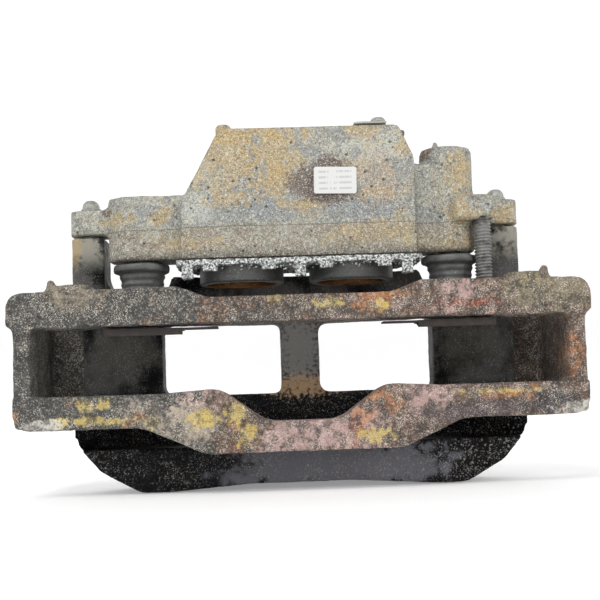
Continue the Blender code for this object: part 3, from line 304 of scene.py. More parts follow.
def alloy_coat(colours):
    """Mottled cast alloy: grey and blue-grey, golden deposits, a glue stain, grime, pits and painted
    shade at the bottom edge.
    """
    coat = Coat("cast_alloy_weathered", colours.alloy, 0.62, metallic=0.15)
    broad = coat.noise(0.030)
    medium = coat.noise(0.0085, 6)
    fine = coat.noise(0.0016, 4)
    speck = coat.noise(0.0007, 3)
    ragged = coat.mean(medium, coat.noise(0.0030, 3))
    coat.lay(coat.between(medium, 0.46, 0.58), colours.alloy_blue, 0.60)
    coat.lay(coat.between(coat.noise(0.0048, 5), 0.52, 0.40), ALLOY_SHADE, 0.55)
    cool = (
        (-0.023, 0.161, 0.016, 0.013), (-0.010, 0.147, 0.045, 0.006), (0.040, 0.146, 0.020, 0.006),
    )
    patches(coat, cool, colours.alloy_blue, ragged, 0.70)
    bloomed = (
        (-0.048, 0.168, 0.008, 0.009), (0.045, 0.180, 0.022, 0.009), (-0.052, 0.150, 0.008, 0.012),
    )
    patches(coat, bloomed, colours.alloy_bloom, ragged, 0.36)
    scattered = coat.both(coat.between(broad, 0.53, 0.62), coat.between(fine, 0.44, 0.56))
    coat.lay(scattered, colours.ochre, 0.75)
    golden = (
        (-0.038, 0.177, 0.020, 0.018), (-0.012, 0.177, 0.015, 0.018), (-0.028, 0.188, 0.030, 0.006),
        (-0.010, 0.163, 0.008, 0.010), (0.038, 0.187, 0.011, 0.005), (0.060, 0.180, 0.006, 0.009),
        (0.089, 0.166, 0.009, 0.011), (0.088, 0.143, 0.010, 0.010), (0.114, 0.143, 0.008, 0.008),
        (0.113, 0.132, 0.008, 0.006), (0.038, 0.133, 0.022, 0.006), (0.085, 0.127, 0.012, 0.006),
        (-0.036, 0.152, 0.010, 0.005), (-0.070, 0.146, 0.006, 0.005), (-0.095, 0.144, 0.009, 0.004),
        (0.044, 0.154, 0.013, 0.005), (0.003, 0.149, 0.012, 0.004), (-0.060, 0.130, 0.020, 0.004),
    )
    patches(coat, golden, colours.ochre, ragged, 0.62)
    patches(coat, ((0.047, 0.160, 0.014, 0.014),), ALLOY_TAN, ragged, 0.55)
    band = coat.between(coat.axis("Z"), 0.1395, 0.1375)
    coat.lay(coat.both(band, coat.between(medium, 0.38, 0.56)), colours.grime, 0.62)
    stained = (
        (0.010, 0.1595, 0.016, 0.0095), (0.018, 0.1665, 0.011, 0.0085),
        (0.020, 0.1555, 0.014, 0.0075),
    )
    patches(coat, stained, colours.glue, ragged, 0.84, rough=1.1)
    rusty = ((0.068, 0.178, 0.008, 0.006), (-0.101, 0.150, 0.003, 0.003))
    patches(coat, rusty, colours.rust, fine, 0.8, rough=1.0)
    away = coat.between(coat.axis("Y"), -0.020, 0.012)
    coat.lay(coat.both(away, coat.between(broad, 0.40, 0.60)), colours.grime, 0.55)
    # Painted shade: the lowest 6 mm of the block are darkened with the soot colour.
    underside_shade = coat.between(coat.axis("Z"), BLOCK_LOW[2] + 0.006, BLOCK_LOW[2] + 0.001)
    coat.lay(underside_shade, colours.soot, 0.45)
    coat.grain(fine, ALLOY_PIT, colours.alloy_bloom, 0.18, 0.66)
    coat.grain(speck, colours.soot, ALLOY_SPARK, 0.18, 0.64)
    pits = coat.both(coat.between(coat.cells(0.0060), 0.16, 0.09), coat.between(broad, 0.42, 0.52))
    coat.lay(pits, colours.soot, 0.85)
    seam = coat.sum("ABSOLUTE", coat.sum("SUBTRACT", coat.axis("Z"), 0.1382))
    parting = coat.both(coat.between(seam, 0.00042, 0.00018), coat.between(fine, 0.40, 0.52))
    coat.lay(parting, colours.soot, 0.55)
    coat.shine(fine, 0.42, 0.80)
    coat.relief(medium, 0.0016, 0.60)
    coat.relief(fine, 0.0009, 0.60)
    coat.relief(speck, 0.00045, 0.60)
    return coat.finish()


def carrier_coat(colours):
    """Rusted iron: grey with chalk specks on the left, brown and orange rust to the right, painted
    shade in the recesses.
    """
    coat = Coat("carrier_iron_rusted", colours.iron, 0.78, metallic=0.05)
    broad = coat.noise(0.026, 5)
    medium = coat.noise(0.0075, 6)
    fine = coat.noise(0.0019, 4)
    speck = coat.noise(0.0009, 3)
    grit = coat.noise(0.0005, 2)
    ragged = coat.mean(medium, coat.noise(0.0028, 4))
    drift = coat.sum("MULTIPLY", coat.sum("SUBTRACT", broad, 0.5), 0.16)
    side = coat.sum("ADD", coat.axis("X"), drift)
    coat.lay(coat.between(side, -0.060, 0.040), colours.rust, 0.80)
    filmed = coat.both(coat.between(medium, 0.52, 0.62), coat.between(side, -0.030, 0.040))
    coat.lay(filmed, colours.mauve, 0.30)
    fresh = coat.both(coat.between(broad, 0.54, 0.64), coat.between(fine, 0.46, 0.58))
    coat.lay(fresh, colours.rust_bright, 0.32)
    mauve = (
        (-0.002, 0.028, 0.036, 0.012), (0.022, 0.030, 0.022, 0.012), (0.064, 0.046, 0.016, 0.010),
        (0.080, 0.098, 0.014, 0.006), (0.072, 0.092, 0.012, 0.004), (-0.045, 0.047, 0.018, 0.008),
    )
    front = {"front": CARRIER_LOW[1], "depth": 0.030}
    patches(coat, mauve, colours.mauve, ragged, 0.88, **front)
    tan = ((-0.056, 0.036, 0.022, 0.012), (-0.080, 0.042, 0.012, 0.006))
    patches(coat, tan, IRON_TAN, ragged, 0.70, **front)
    brown = (
        (-0.030, 0.042, 0.020, 0.012), (-0.034, 0.028, 0.012, 0.010), (0.064, 0.096, 0.012, 0.007),
        (0.090, 0.040, 0.018, 0.007), (0.000, 0.098, 0.030, 0.004),
    )
    patches(coat, brown, colours.rust, ragged, 0.85, **front)
    plum = ((0.098, 0.040, 0.020, 0.005), (0.078, 0.037, 0.020, 0.004))
    patches(coat, plum, IRON_PLUM, ragged, 0.8, **front)
    orange = (
        (0.036, 0.048, 0.012, 0.004), (0.030, 0.036, 0.006, 0.006), (0.046, 0.043, 0.006, 0.005),
        (0.037, 0.096, 0.013, 0.006), (0.046, 0.099, 0.008, 0.004), (0.100, 0.046, 0.012, 0.0025),
        (-0.088, 0.0375, 0.004, 0.0025), (-0.082, 0.041, 0.005, 0.0025), (-0.144, 0.042, 0.002, 0.003),
        (0.118, 0.046, 0.010, 0.004), (0.136, 0.066, 0.008, 0.010),
    )
    patches(coat, orange, colours.rust_bright, ragged, 0.50, **front)
    red = (
        (0.026, 0.029, 0.005, 0.006), (0.082, 0.0925, 0.020, 0.0022), (-0.034, 0.031, 0.005, 0.008),
    )
    patches(coat, red, colours.rust_red, ragged, 0.8, **front)
    yellow = (
        (-0.108, 0.046, 0.005, 0.003), (-0.100, 0.047, 0.004, 0.003), (-0.120, 0.038, 0.005, 0.003),
        (-0.104, 0.0385, 0.022, 0.0022), (-0.076, 0.040, 0.003, 0.005), (-0.052, 0.038, 0.007, 0.005),
        (-0.046, 0.037, 0.006, 0.003), (-0.034, 0.040, 0.005, 0.006), (-0.030, 0.030, 0.006, 0.006),
        (0.036, 0.027, 0.010, 0.004), (0.014, 0.095, 0.008, 0.0028), (0.040, 0.093, 0.005, 0.003),
        (0.104, 0.0475, 0.024, 0.0014), (-0.012, 0.098, 0.004, 0.002), (0.118, 0.104, 0.004, 0.004),
    )
    patches(coat, yellow, colours.lichen, ragged, 0.72, **front)
    blue = ((-0.075, 0.043, 0.005, 0.004), (0.126, 0.043, 0.010, 0.007))
    patches(coat, blue, IRON_BLUE, ragged, 0.85, **front)
    olive = ((0.117, 0.100, 0.013, 0.012), (0.137, 0.098, 0.012, 0.012))
    patches(coat, olive, colours.olive, ragged, 0.75, **front)
    sand = ((-0.114, 0.102, 0.013, 0.008), (-0.124, 0.108, 0.008, 0.006))
    patches(coat, sand, IRON_SAND, ragged, 0.70, **front)
    chalky = ((0.138, 0.0365, 0.010, 0.004), (-0.130, 0.037, 0.010, 0.003))
    patches(coat, chalky, colours.chalk, ragged, 0.80, **front)
    # Painted shade: faces set back 6 to 22 mm behind the carrier's front are darkened in patches.
    recess_shade = coat.between(coat.axis("Y"), CARRIER_LOW[1] + 0.006, CARRIER_LOW[1] + 0.022)
    coat.lay(coat.both(recess_shade, coat.between(medium, 0.36, 0.60)), IRON_RECESS_SHADE, 0.80)
    coat.lay(coat.between(coat.noise(0.0050, 5), 0.54, 0.40), colours.soot, 0.72)
    coat.grain(fine, colours.soot, IRON_DUST, 0.20, 0.60)
    coat.grain(speck, colours.soot, IRON_CHALK, 0.20, 0.62)
    salt = coat.both(coat.between(grit, 0.56, 0.64), coat.between(medium, 0.46, 0.58))
    coat.lay(salt, IRON_SALT, 0.80)
    coat.shine(fine, 0.60, 0.92)
    coat.relief(medium, 0.0016, 0.7)
    coat.relief(fine, 0.0010, 0.7)
    coat.relief(grit, 0.00035, 0.6)
    return coat.finish()


def yoke_coat(colours):
    """Old black paint over iron, near-black below as painted shade and lighter grey above as painted
    light: slate where it is worn, light specks, rust at the strut's foot.
    """
    coat = Coat("yoke_iron_painted", colours.charcoal_and_shade, 0.55)
    coat.shader.inputs["Specular IOR Level"].default_value = 0.10
    broad = coat.noise(0.030, 5)
    medium = coat.noise(0.009, 5)
    fine = coat.noise(0.0022, 4)
    speck = coat.noise(0.0011, 3)
    coat.lay(coat.between(medium, 0.46, 0.66), PAINT_BLOOM, 0.8)
    worn = ((0.012, 0.012, 0.056, 0.018), (0.052, 0.010, 0.024, 0.010))
    patches(coat, worn, colours.slate, medium, 0.85, rough=1.2)
    # Painted light and shade: above 46 to 56 mm the yoke turns lighter grey as if lit, while the wall's
    # lower face keeps the near-black base as painted shade.
    inner = coat.between(coat.axis("Z"), 0.046, 0.056)
    coat.lay(coat.both(inner, coat.between(broad, 0.36, 0.62)), PAINT_UPPER_LIT, 0.85)
    strut = coat.near((0.0015, 0.026, 0.075), (0.015, 0.018, 0.028), fine)
    coat.lay(strut, PAINT_STRUT, 0.9)
    foot = ((0.0015, 0.0535, 0.018, 0.0062),)
    patches(coat, foot, PAINT_FOOT, fine, 0.85, front=0.028, depth=0.018, rough=2.0)
    panels = ((0.095, 0.074, 0.020, 0.016), (-0.095, 0.074, 0.020, 0.010))
    patches(coat, panels, PAINT_PANEL, fine, 0.5, front=0.030, rough=1.0)
    top = coat.between(coat.axis("Z"), 0.116, 0.130)
    coat.lay(coat.both(top, coat.between(medium, 0.36, 0.52)), PAINT_TOWER, 0.85)
    coat.lay(coat.both(top, coat.between(broad, 0.50, 0.58)), colours.ochre, 0.55)
    edge = coat.near((0.095, -0.02, 0.020), (0.030, 0.05, 0.020), medium)
    coat.lay(coat.both(edge, coat.between(speck, 0.56, 0.66)), PAINT_CHALK, 0.60)
    dusty = coat.both(coat.between(speck, 0.57, 0.68), coat.between(broad, 0.36, 0.60))
    coat.lay(dusty, PAINT_DUST, 0.70)
    rusty = coat.both(coat.between(fine, 0.60, 0.68), coat.between(broad, 0.50, 0.62))
    coat.lay(rusty, colours.rust, 0.45)
    dots = coat.between(coat.noise(0.0006, 2), 0.60, 0.68)
    coat.lay(coat.both(dots, coat.between(medium, 0.42, 0.56)), PAINT_SPECK, 0.75)
    coat.shine(medium, 0.36, 0.80)
    coat.relief(medium, 0.0012, 0.5)
    coat.relief(speck, 0.00045, 0.6)
    return coat.finish()


def crust_coat(colours):
    """Granular corrosion: white, grey and black grains side by side."""
    coat = Coat("retainer_crust", CRUST_GREY, 0.55, metallic=0.25)
    grain = coat.noise(0.0012, 3)
    coarse = coat.noise(0.0045, 3)
    coat.lay(coat.between(grain, 0.50, 0.58), CRUST_WHITE, 0.95)
    coat.lay(coat.between(grain, 0.46, 0.40), colours.soot, 0.95)
    clumps = coat.both(coat.between(coarse, 0.54, 0.62), coat.between(grain, 0.56, 0.42))
    coat.lay(clumps, colours.soot, 0.85)
    coat.relief(grain, 0.0007, 0.8)
    return coat.finish()


def rubber_coat(name, colours, gloss, dust):
    coat = Coat(name, colours.rubber, gloss)
    cloud = coat.noise(0.006, 5)
    fine = coat.noise(0.0012, 3)
    coat.lay(coat.between(cloud, 0.44, 0.66), RUBBER_HAZE, dust)
    coat.lay(coat.between(fine, 0.62, 0.68), RUBBER_DUST, 0.5)
    coat.shine(cloud, gloss - 0.08, gloss + 0.22)
    coat.relief(cloud, 0.0007, 0.5)
    coat.relief(fine, 0.00012, 0.4)
    return coat.finish()


def metal_coat(name, base, roughness, metallic, stain, amount):
    """Plain metal with clouds of stain and fine scratches of wear."""
    coat = Coat(name, base, roughness, metallic)
    cloud = coat.noise(0.004, 5)
    fine = coat.noise(0.0009, 3)
    coat.lay(coat.between(cloud, 0.46, 0.64), stain, amount)
    coat.lay(coat.between(fine, 0.40, 0.34), METAL_PIT, 0.6)
    coat.shine(cloud, max(roughness - 0.10, 0.15), min(roughness + 0.20, 1.0))
    coat.relief(fine, 0.00018, 0.4)
    return coat.finish()


def piston_coat(colours, side):
    """Satin coated steel outside, with varnished brake dust in the open end."""
    low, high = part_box(f"piston_{side}")
    centre = ((low[0] + high[0]) / 2, (low[1] + high[1]) / 2, low[2])
    radius = (high[0] - low[0]) / 2
    coat = Coat(f"piston_{side}_coated", colours.piston, 0.42, metallic=0.55)
    away = coat.vector("MULTIPLY", coat.vector("SUBTRACT", coat.place, centre), (1, 1, 0))
    away = coat.vector("LENGTH", away, (0, 0, 0), output="Value")
    cloud = coat.noise(0.008, 5, stretch=(1, 1, 3))
    fine = coat.noise(0.0011, 3)
    coat.lay(coat.between(cloud, 0.48, 0.66), PISTON_HAZE, 0.6)
    inside = coat.between(away, radius - 0.0030, radius - 0.0036)
    coat.lay(inside, colours.amber, 0.95)
    coat.lay(coat.both(inside, coat.between(cloud, 0.50, 0.62)), PISTON_CHAR, 0.8)
    coat.lay(coat.between(fine, 0.61, 0.67), PISTON_SPECK, 0.5)
    coat.lay(coat.between(fine, 0.39, 0.34), colours.soot, 0.6)
    coat.shine(cloud, 0.30, 0.60)
    coat.relief(fine, 0.00015, 0.4)
    return coat.finish()


def label_coat(colours):
    """White paper with rows of faint grey rules and a light speckle of dirt."""
    low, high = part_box("label")
    coat = Coat("label_paper_printed", colours.paper, 0.55)
    fine = coat.noise(0.0016, 3)
    dash = coat.noise(0.0016, 1, stretch=(1.0, 1.0, 0.05))
    height = coat.axis("Z")
    across = coat.axis("X")
    inside = coat.both(coat.between(across, low[0] + 0.0024, low[0] + 0.0030),
                       coat.between(across, high[0] - 0.0024, high[0] - 0.0030))
    for row in range(4):
        middle = low[2] + 0.0030 + row * 0.0030
        off = coat.sum("ABSOLUTE", coat.sum("SUBTRACT", height, middle))
        rule = coat.both(coat.between(off, 0.00065, 0.00045), coat.between(dash, 0.36, 0.44))
        coat.lay(coat.both(rule, inside), LABEL_GREY, 0.62)
    coat.lay(coat.between(fine, 0.60, 0.70), LABEL_DIRT, 0.25)
    coat.relief(fine, 0.00008, 0.3)
    return coat.finish()


# ---------------------------------------------------------------- helpers for shapes


def select_only(made):
    bpy.ops.object.select_all(action="DESELECT")
    made.select_set(True)
    bpy.context.view_layer.objects.active = made


def start_piece(name):
    """Names the primitive that was just added and returns it."""
    made = bpy.context.object
    made.name = name
    made.data.name = name
    return made


def apply_all(made):
    select_only(made)
    for modifier in list(made.modifiers):
        bpy.ops.object.modifier_apply(modifier=modifier.name)


def settle(made, angle=SOFT_EDGE_ANGLE):
    """Puts a finished piece's place into its mesh and shades it."""
    select_only(made)
    bpy.ops.object.transform_apply(location=True, rotation=True, scale=True)
    bpy.ops.object.shade_smooth_by_angle(angle=angle)


def dress(made, material):
    made.data.materials.clear()
    made.data.materials.append(material)


def solid_copy(node, name):
    """A CAD node's solid as a new piece, with its loose triangles joined."""
    made = bpy.data.objects.new(name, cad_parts[node].data.copy())
    bpy.context.scene.collection.objects.link(made)
    select_only(made)
    bpy.ops.object.mode_set(mode="EDIT")
    bpy.ops.mesh.select_all(action="SELECT")
    bpy.ops.mesh.remove_doubles(threshold=WELD)
    bpy.ops.object.mode_set(mode="OBJECT")
    return made


def clouds(name, size, depth=2):
    texture = bpy.data.textures.new(name, "CLOUDS")
    texture.noise_scale = size
    texture.noise_depth = depth
    return texture


def roughen(made, texture, depth, middle=0.0):
    """Sinks the skin by up to depth where the texture is light; a middle above 0 also raises it."""
    push = made.modifiers.new("Skin", "DISPLACE")
    push.texture = texture
    push.texture_coords = "LOCAL"
    push.strength = -depth
    push.mid_level = middle


def cast(node, name, grain, wear, pits):
    """A casting: the solid with its corners softened and its skin worn and pitted."""
    made = solid_copy(node, name)
    remesh = made.modifiers.new("Cells", "REMESH")
    remesh.mode = "VOXEL"
    remesh.voxel_size = grain
    soften = made.modifiers.new("Soften", "SMOOTH")
    soften.factor = 0.5
    soften.iterations = 3
    roughen(made, clouds(f"{name}_wear", 0.011, 3), wear)
    roughen(made, clouds(f"{name}_pits", 0.0032, 2), pits)
    apply_all(made)
    settle(made, math.pi)
    return made


def machined(node, name, edge):
    """A machined or moulded part: the solid with its flats joined and its edges broken."""
    made = solid_copy(node, name)
    select_only(made)
    flat = made.modifiers.new("Flats", "DECIMATE")
    flat.decimate_type = "DISSOLVE"
    flat.angle_limit = math.radians(1.0)
    broken = made.modifiers.new("Edges", "BEVEL")
    broken.width = edge
    broken.segments = 2
    broken.limit_method = "ANGLE"
    broken.angle_limit = SOFT_EDGE_ANGLE
    broken.harden_normals = False
    apply_all(made)
    settle(made)
    return made


def turned(name, profile, centre, sides=56, hollow=False):
    """A shape of revolution: a ring at the first (radius, height), extruded through the others."""
    radius, height = profile[0]
    bpy.ops.mesh.primitive_circle_add(vertices=sides, radius=radius, fill_type="NOTHING",
                                      location=(centre[0], centre[1], height))
    made = start_piece(name)
    bpy.ops.object.mode_set(mode="EDIT")
    bpy.ops.mesh.select_all(action="SELECT")
    for next_radius, next_height in profile[1:]:
        rise = (0, 0, next_height - height)
        bpy.ops.mesh.extrude_region_move(TRANSFORM_OT_translate={"value": rise})
        bpy.ops.transform.resize(value=(next_radius / radius, next_radius / radius, 1),
                                 center_override=(centre[0], centre[1], next_height))
        radius, height = next_radius, next_height
    bpy.ops.mesh.select_all(action="DESELECT")
    bpy.ops.mesh.select_mode(type="EDGE")
    bpy.ops.mesh.select_non_manifold()
    if hollow:
        bpy.ops.mesh.bridge_edge_loops()
    else:
        bpy.ops.mesh.fill_holes(sides=0)
    bpy.ops.mesh.select_all(action="SELECT")
    bpy.ops.mesh.normals_make_consistent(inside=False)
    bpy.ops.object.mode_set(mode="OBJECT")
    return made


def middle_of(node):
    low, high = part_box(node)
    return [(a + b) / 2 for a, b in zip(low, high)], low, high


# ---------------------------------------------------------------- pieces


class CALIPER_OT_castings(bpy.types.Operator):
    """Carrier, cylinder block and bridge yoke with a worn cast skin"""

    bl_idname = "caliper.castings"
    bl_label = "Castings"

    def execute(self, context):
        sizes = context.scene.caliper_sizes
        colours = context.scene.caliper_colours
        kinds = (
            ("carrier_frame", "carrier_casting", "carrier", "carrier_iron", carrier_coat(colours), 1.0),
            ("cylinder_block", "block_casting", "housing", "cast_alloy", alloy_coat(colours), 0.6),
            ("bridge_yoke", "yoke_casting", "housing", "yoke_iron", yoke_coat(colours), 0.8),
        )
        for node, name, body, slot, material, roughness in kinds:
            made = cast(node, name, sizes.cast_grain, sizes.cast_wear * roughness,
                        sizes.cast_pits * roughness)
            dress(made, material)
            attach(made, body)
            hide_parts(node)
        return {"FINISHED"}


class CALIPER_OT_retainer(bpy.types.Operator):
    """Boot retainer plate, eaten by corrosion and hung with flakes"""

    bl_idname = "caliper.retainer"
    bl_label = "Retainer plate"

    def execute(self, context):
        sizes = context.scene.caliper_sizes
        material = crust_coat(context.scene.caliper_colours)
        node = "boot_retainer_plate"
        plate = solid_copy(node, "retainer_plate_corroded")
        remesh = plate.modifiers.new("Cells", "REMESH")
        remesh.mode = "VOXEL"
        remesh.voxel_size = sizes.crust_grain
        roughen(plate, clouds("crust_lumps", 0.0024, 2), sizes.crust_depth, 0.45)
        roughen(plate, clouds("crust_grains", 0.0010, 1), sizes.crust_depth * 0.6, 0.5)
        apply_all(plate)
        settle(plate, math.radians(60))
        dress(plate, material)
        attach(plate, "housing")
        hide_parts(node)
        flakes = self.flakes(sizes, *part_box(node))
        dress(flakes, material)
        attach(flakes, "housing")
        return {"FINISHED"}

    def flakes(self, sizes, low, high):
        """Small lumps along the plate's front edge and tabs."""
        chance = random.Random(7)
        bpy.ops.mesh.primitive_ico_sphere_add(subdivisions=1, radius=0.5)
        seed = start_piece("corrosion_flakes")
        copies = [seed]
        for _ in range(sizes.flake_count):
            copy = seed.copy()
            copy.data = seed.data.copy()
            bpy.context.scene.collection.objects.link(copy)
            copies.append(copy)
        front = low[1]
        top = high[2] - 0.0005
        for made in copies:
            size = sizes.flake_size * chance.uniform(0.5, 1.7)
            drop = chance.betavariate(1.2, 3.2)
            made.location = (
                chance.uniform(low[0] + 0.001, high[0] - 0.001),
                front + chance.uniform(0.0004, 0.0045),
                top - drop * (high[2] - low[2]) * 0.62,
            )
            made.scale = (size, size * chance.uniform(0.5, 1.0), size * chance.uniform(0.6, 1.5))
            made.rotation_euler = [chance.uniform(0, math.pi) for _ in range(3)]
        bpy.ops.object.select_all(action="DESELECT")
        for made in copies:
            made.select_set(True)
        bpy.context.view_layer.objects.active = seed
        bpy.ops.object.join()
        settle(seed, math.radians(20))
        return seed


class CALIPER_OT_guide_boots(bpy.types.Operator):
    """Rubber bellows between the carrier's lugs and the block"""

    bl_idname = "caliper.guide_boots"
    bl_label = "Guide boots"

    def execute(self, context):
        sizes = context.scene.caliper_sizes
        material = rubber_coat("boot_rubber", context.scene.caliper_colours, 0.30, 0.65)
        for side in (LEFT, RIGHT):
            node = f"guide_boot_{side}"
            made = self.boot(node, f"boot_bellows_{side}", sizes)
            dress(made, material)
            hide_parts(node)
            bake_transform(made)
        return {"FINISHED"}

    def boot(self, node, name, sizes):
        centre, low, high = middle_of(node)
        ring = (high[0] - low[0]) / 2
        body = ring - 0.0026
        inner = 0.0090
        height = high[2] - low[2]
        fold = sizes.boot_fold
        profile = [(body + 0.0008, low[2]), (body + 0.0012, low[2] + 0.0014)]
        folds = 2
        start = low[2] + 0.0020
        reach = height - 0.0020 - 0.0052
        for index in range(folds * 4 + 1):
            share = index / (folds * 4)
            swing = 0.5 - 0.5 * math.cos(share * folds * 2 * math.pi)
            profile.append((body - 0.0020 + fold * swing + 0.0012 * share, start + reach * share))
        profile += [
            (ring - 0.0012, high[2] - 0.0046),
            (ring - 0.0002, high[2] - 0.0040),
            (ring, high[2] - 0.0030),
            (ring, high[2] - 0.0012),
            (ring - 0.0006, high[2] - 0.0003),
            (ring - 0.0016, high[2]),
            (inner, high[2]),
            (inner, low[2]),
        ]
        made = turned(name, profile, centre, sides=72, hollow=True)
        crease = made.modifiers.new("Crease", "DISPLACE")
        crease.texture = clouds(f"{name}_crease", 0.0075, 1)
        crease.texture_coords = "LOCAL"
        crease.strength = 0.0016
        crease.mid_level = 0.62
        smooth = made.modifiers.new("Round", "SUBSURF")
        smooth.levels = 1
        smooth.render_levels = 1
        apply_all(made)
        settle(made, math.pi)
        return made


class CALIPER_OT_stud(bpy.types.Operator):
    """Threaded stud that hangs from the block's ear"""

    bl_idname = "caliper.stud"
    bl_label = "Threaded stud"

    def execute(self, context):
        sizes = context.scene.caliper_sizes
        colours = context.scene.caliper_colours
        centre, low, high = middle_of("threaded_stud")
        radius = (high[0] - low[0]) / 2
        pitch = sizes.thread_pitch
        root = radius - sizes.thread_depth
        turns = int((high[2] - low[2] - 2 * pitch) / pitch)
        bpy.ops.mesh.primitive_circle_add(vertices=5, radius=radius, fill_type="NOTHING")
        thread = start_piece("stud_thread")
        bpy.ops.object.mode_set(mode="EDIT")
        bpy.ops.mesh.select_all(action="DESELECT")
        bpy.ops.object.mode_set(mode="OBJECT")
        flank = radius - 0.0001
        places = ((root, 0.0), (flank, 0.40), (radius, 0.50), (flank, 0.60), (root, 1.0))
        for vertex, (out, rise) in zip(thread.data.vertices, places):
            vertex.co = (out, 0.0, rise * pitch)
        for edge in thread.data.edges:
            edge.select = set(edge.vertices) == {0, 4}
        bpy.ops.object.mode_set(mode="EDIT")
        bpy.ops.mesh.delete(type="EDGE_FACE")
        bpy.ops.object.mode_set(mode="OBJECT")
        screw = thread.modifiers.new("Helix", "SCREW")
        screw.screw_offset = pitch
        screw.iterations = turns
        screw.steps = 36
        screw.render_steps = 36
        screw.use_merge_vertices = True
        screw.merge_threshold = WELD
        thread.location = (centre[0], centre[1], low[2] + 0.6 * pitch)
        apply_all(thread)
        bpy.ops.object.mode_set(mode="EDIT")
        bpy.ops.mesh.select_all(action="SELECT")
        bpy.ops.mesh.remove_doubles(threshold=WELD)
        bpy.ops.mesh.select_all(action="DESELECT")
        bpy.ops.mesh.select_mode(type="EDGE")
        bpy.ops.mesh.select_non_manifold()
        bpy.ops.mesh.fill()
        bpy.ops.mesh.select_all(action="SELECT")
        bpy.ops.mesh.normals_make_consistent(inside=False)
        bpy.ops.object.mode_set(mode="OBJECT")
        settle(thread)
        profile = [
            (root * 0.55, low[2]), (root * 0.96, low[2] + 0.0012), (root * 0.98, low[2] + 0.002),
            (root * 0.98, high[2] - 0.0004), (root * 0.9, high[2]),
        ]
        core = turned("stud_core", profile, centre, sides=32)
        settle(core)
        material = metal_coat("stud_steel", colours.steel, 0.38, 0.75, (0.10, 0.09, 0.08), 0.6)
        for made in (thread, core):
            dress(made, material)
            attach(made, "housing")
        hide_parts("threaded_stud")
        return {"FINISHED"}


class CALIPER_OT_bridge_bolts(bpy.types.Operator):
    """Domed bolts that hold the block to the bridge"""

    bl_idname = "caliper.bridge_bolts"
    bl_label = "Bridge bolts"

    def execute(self, context):
        material = metal_coat("bolt_zinc", (0.40, 0.41, 0.38), 0.5, 0.45, (0.20, 0.17, 0.13), 0.6)
        for side in (LEFT, RIGHT):
            node = f"bridge_bolt_{side}"
            centre, low, high = middle_of(node)
            head = (high[0] - low[0]) / 2
            shank = head - 0.0015
            seat = BLOCK_SEAT + 0.0003
            top = high[2]
            profile = [
                (shank - 0.0010, low[2]), (shank, low[2] + 0.0012), (shank, seat - 0.0005),
                (shank, seat), (head, seat), (head, seat + 0.0011),
                (head - 0.0008, seat + 0.0016), (head - 0.0009, seat + 0.0030),
                (head - 0.0014, top - 0.0016), (head - 0.0024, top - 0.0005),
                (0.0022, top), (0.0018, top - 0.0003), (0.0015, top - 0.0024),
            ]
            made = turned(f"bolt_domed_{side}", profile, centre, sides=40)
            settle(made)
            dress(made, material)
            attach(made, "housing")
            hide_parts(node)
        return {"FINISHED"}


class CALIPER_OT_pistons(bpy.types.Operator):
    """The two pistons"""

    bl_idname = "caliper.pistons"
    bl_label = "Pistons"

    def execute(self, context):
        sizes = context.scene.caliper_sizes
        colours = context.scene.caliper_colours
        for side in (LEFT, RIGHT):
            made = machined(f"piston_{side}", f"piston_cup_{side}", sizes.edge * 2)
            dress(made, piston_coat(colours, side))
            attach(made, f"piston_{side}")
            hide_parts(f"piston_{side}")
        return {"FINISHED"}


class CALIPER_OT_label(bpy.types.Operator):
    """Paper label on the block, with no words on it"""

    bl_idname = "caliper.label"
    bl_label = "Label"

    def execute(self, context):
        sizes = context.scene.caliper_sizes
        made = solid_copy("label", "label_sticker")
        select_only(made)
        bpy.ops.object.mode_set(mode="EDIT")
        bpy.ops.mesh.select_all(action="SELECT")
        bpy.ops.mesh.dissolve_limited(angle_limit=math.radians(1))
        bpy.ops.mesh.select_all(action="DESELECT")
        bpy.ops.object.mode_set(mode="OBJECT")
        points = made.data.vertices
        for edge in made.data.edges:
            run = points[edge.vertices[0]].co - points[edge.vertices[1]].co
            edge.select = abs(run.y) > 0.9 * run.length
        bpy.ops.object.mode_set(mode="EDIT")
        bpy.ops.mesh.select_mode(type="EDGE")
        bpy.ops.mesh.bevel(offset=sizes.label_corner, segments=5)
        bpy.ops.object.mode_set(mode="OBJECT")
        settle(made)
        dress(made, label_coat(context.scene.caliper_colours))
        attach(made, "housing")
        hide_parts("label")
        return {"FINISHED"}


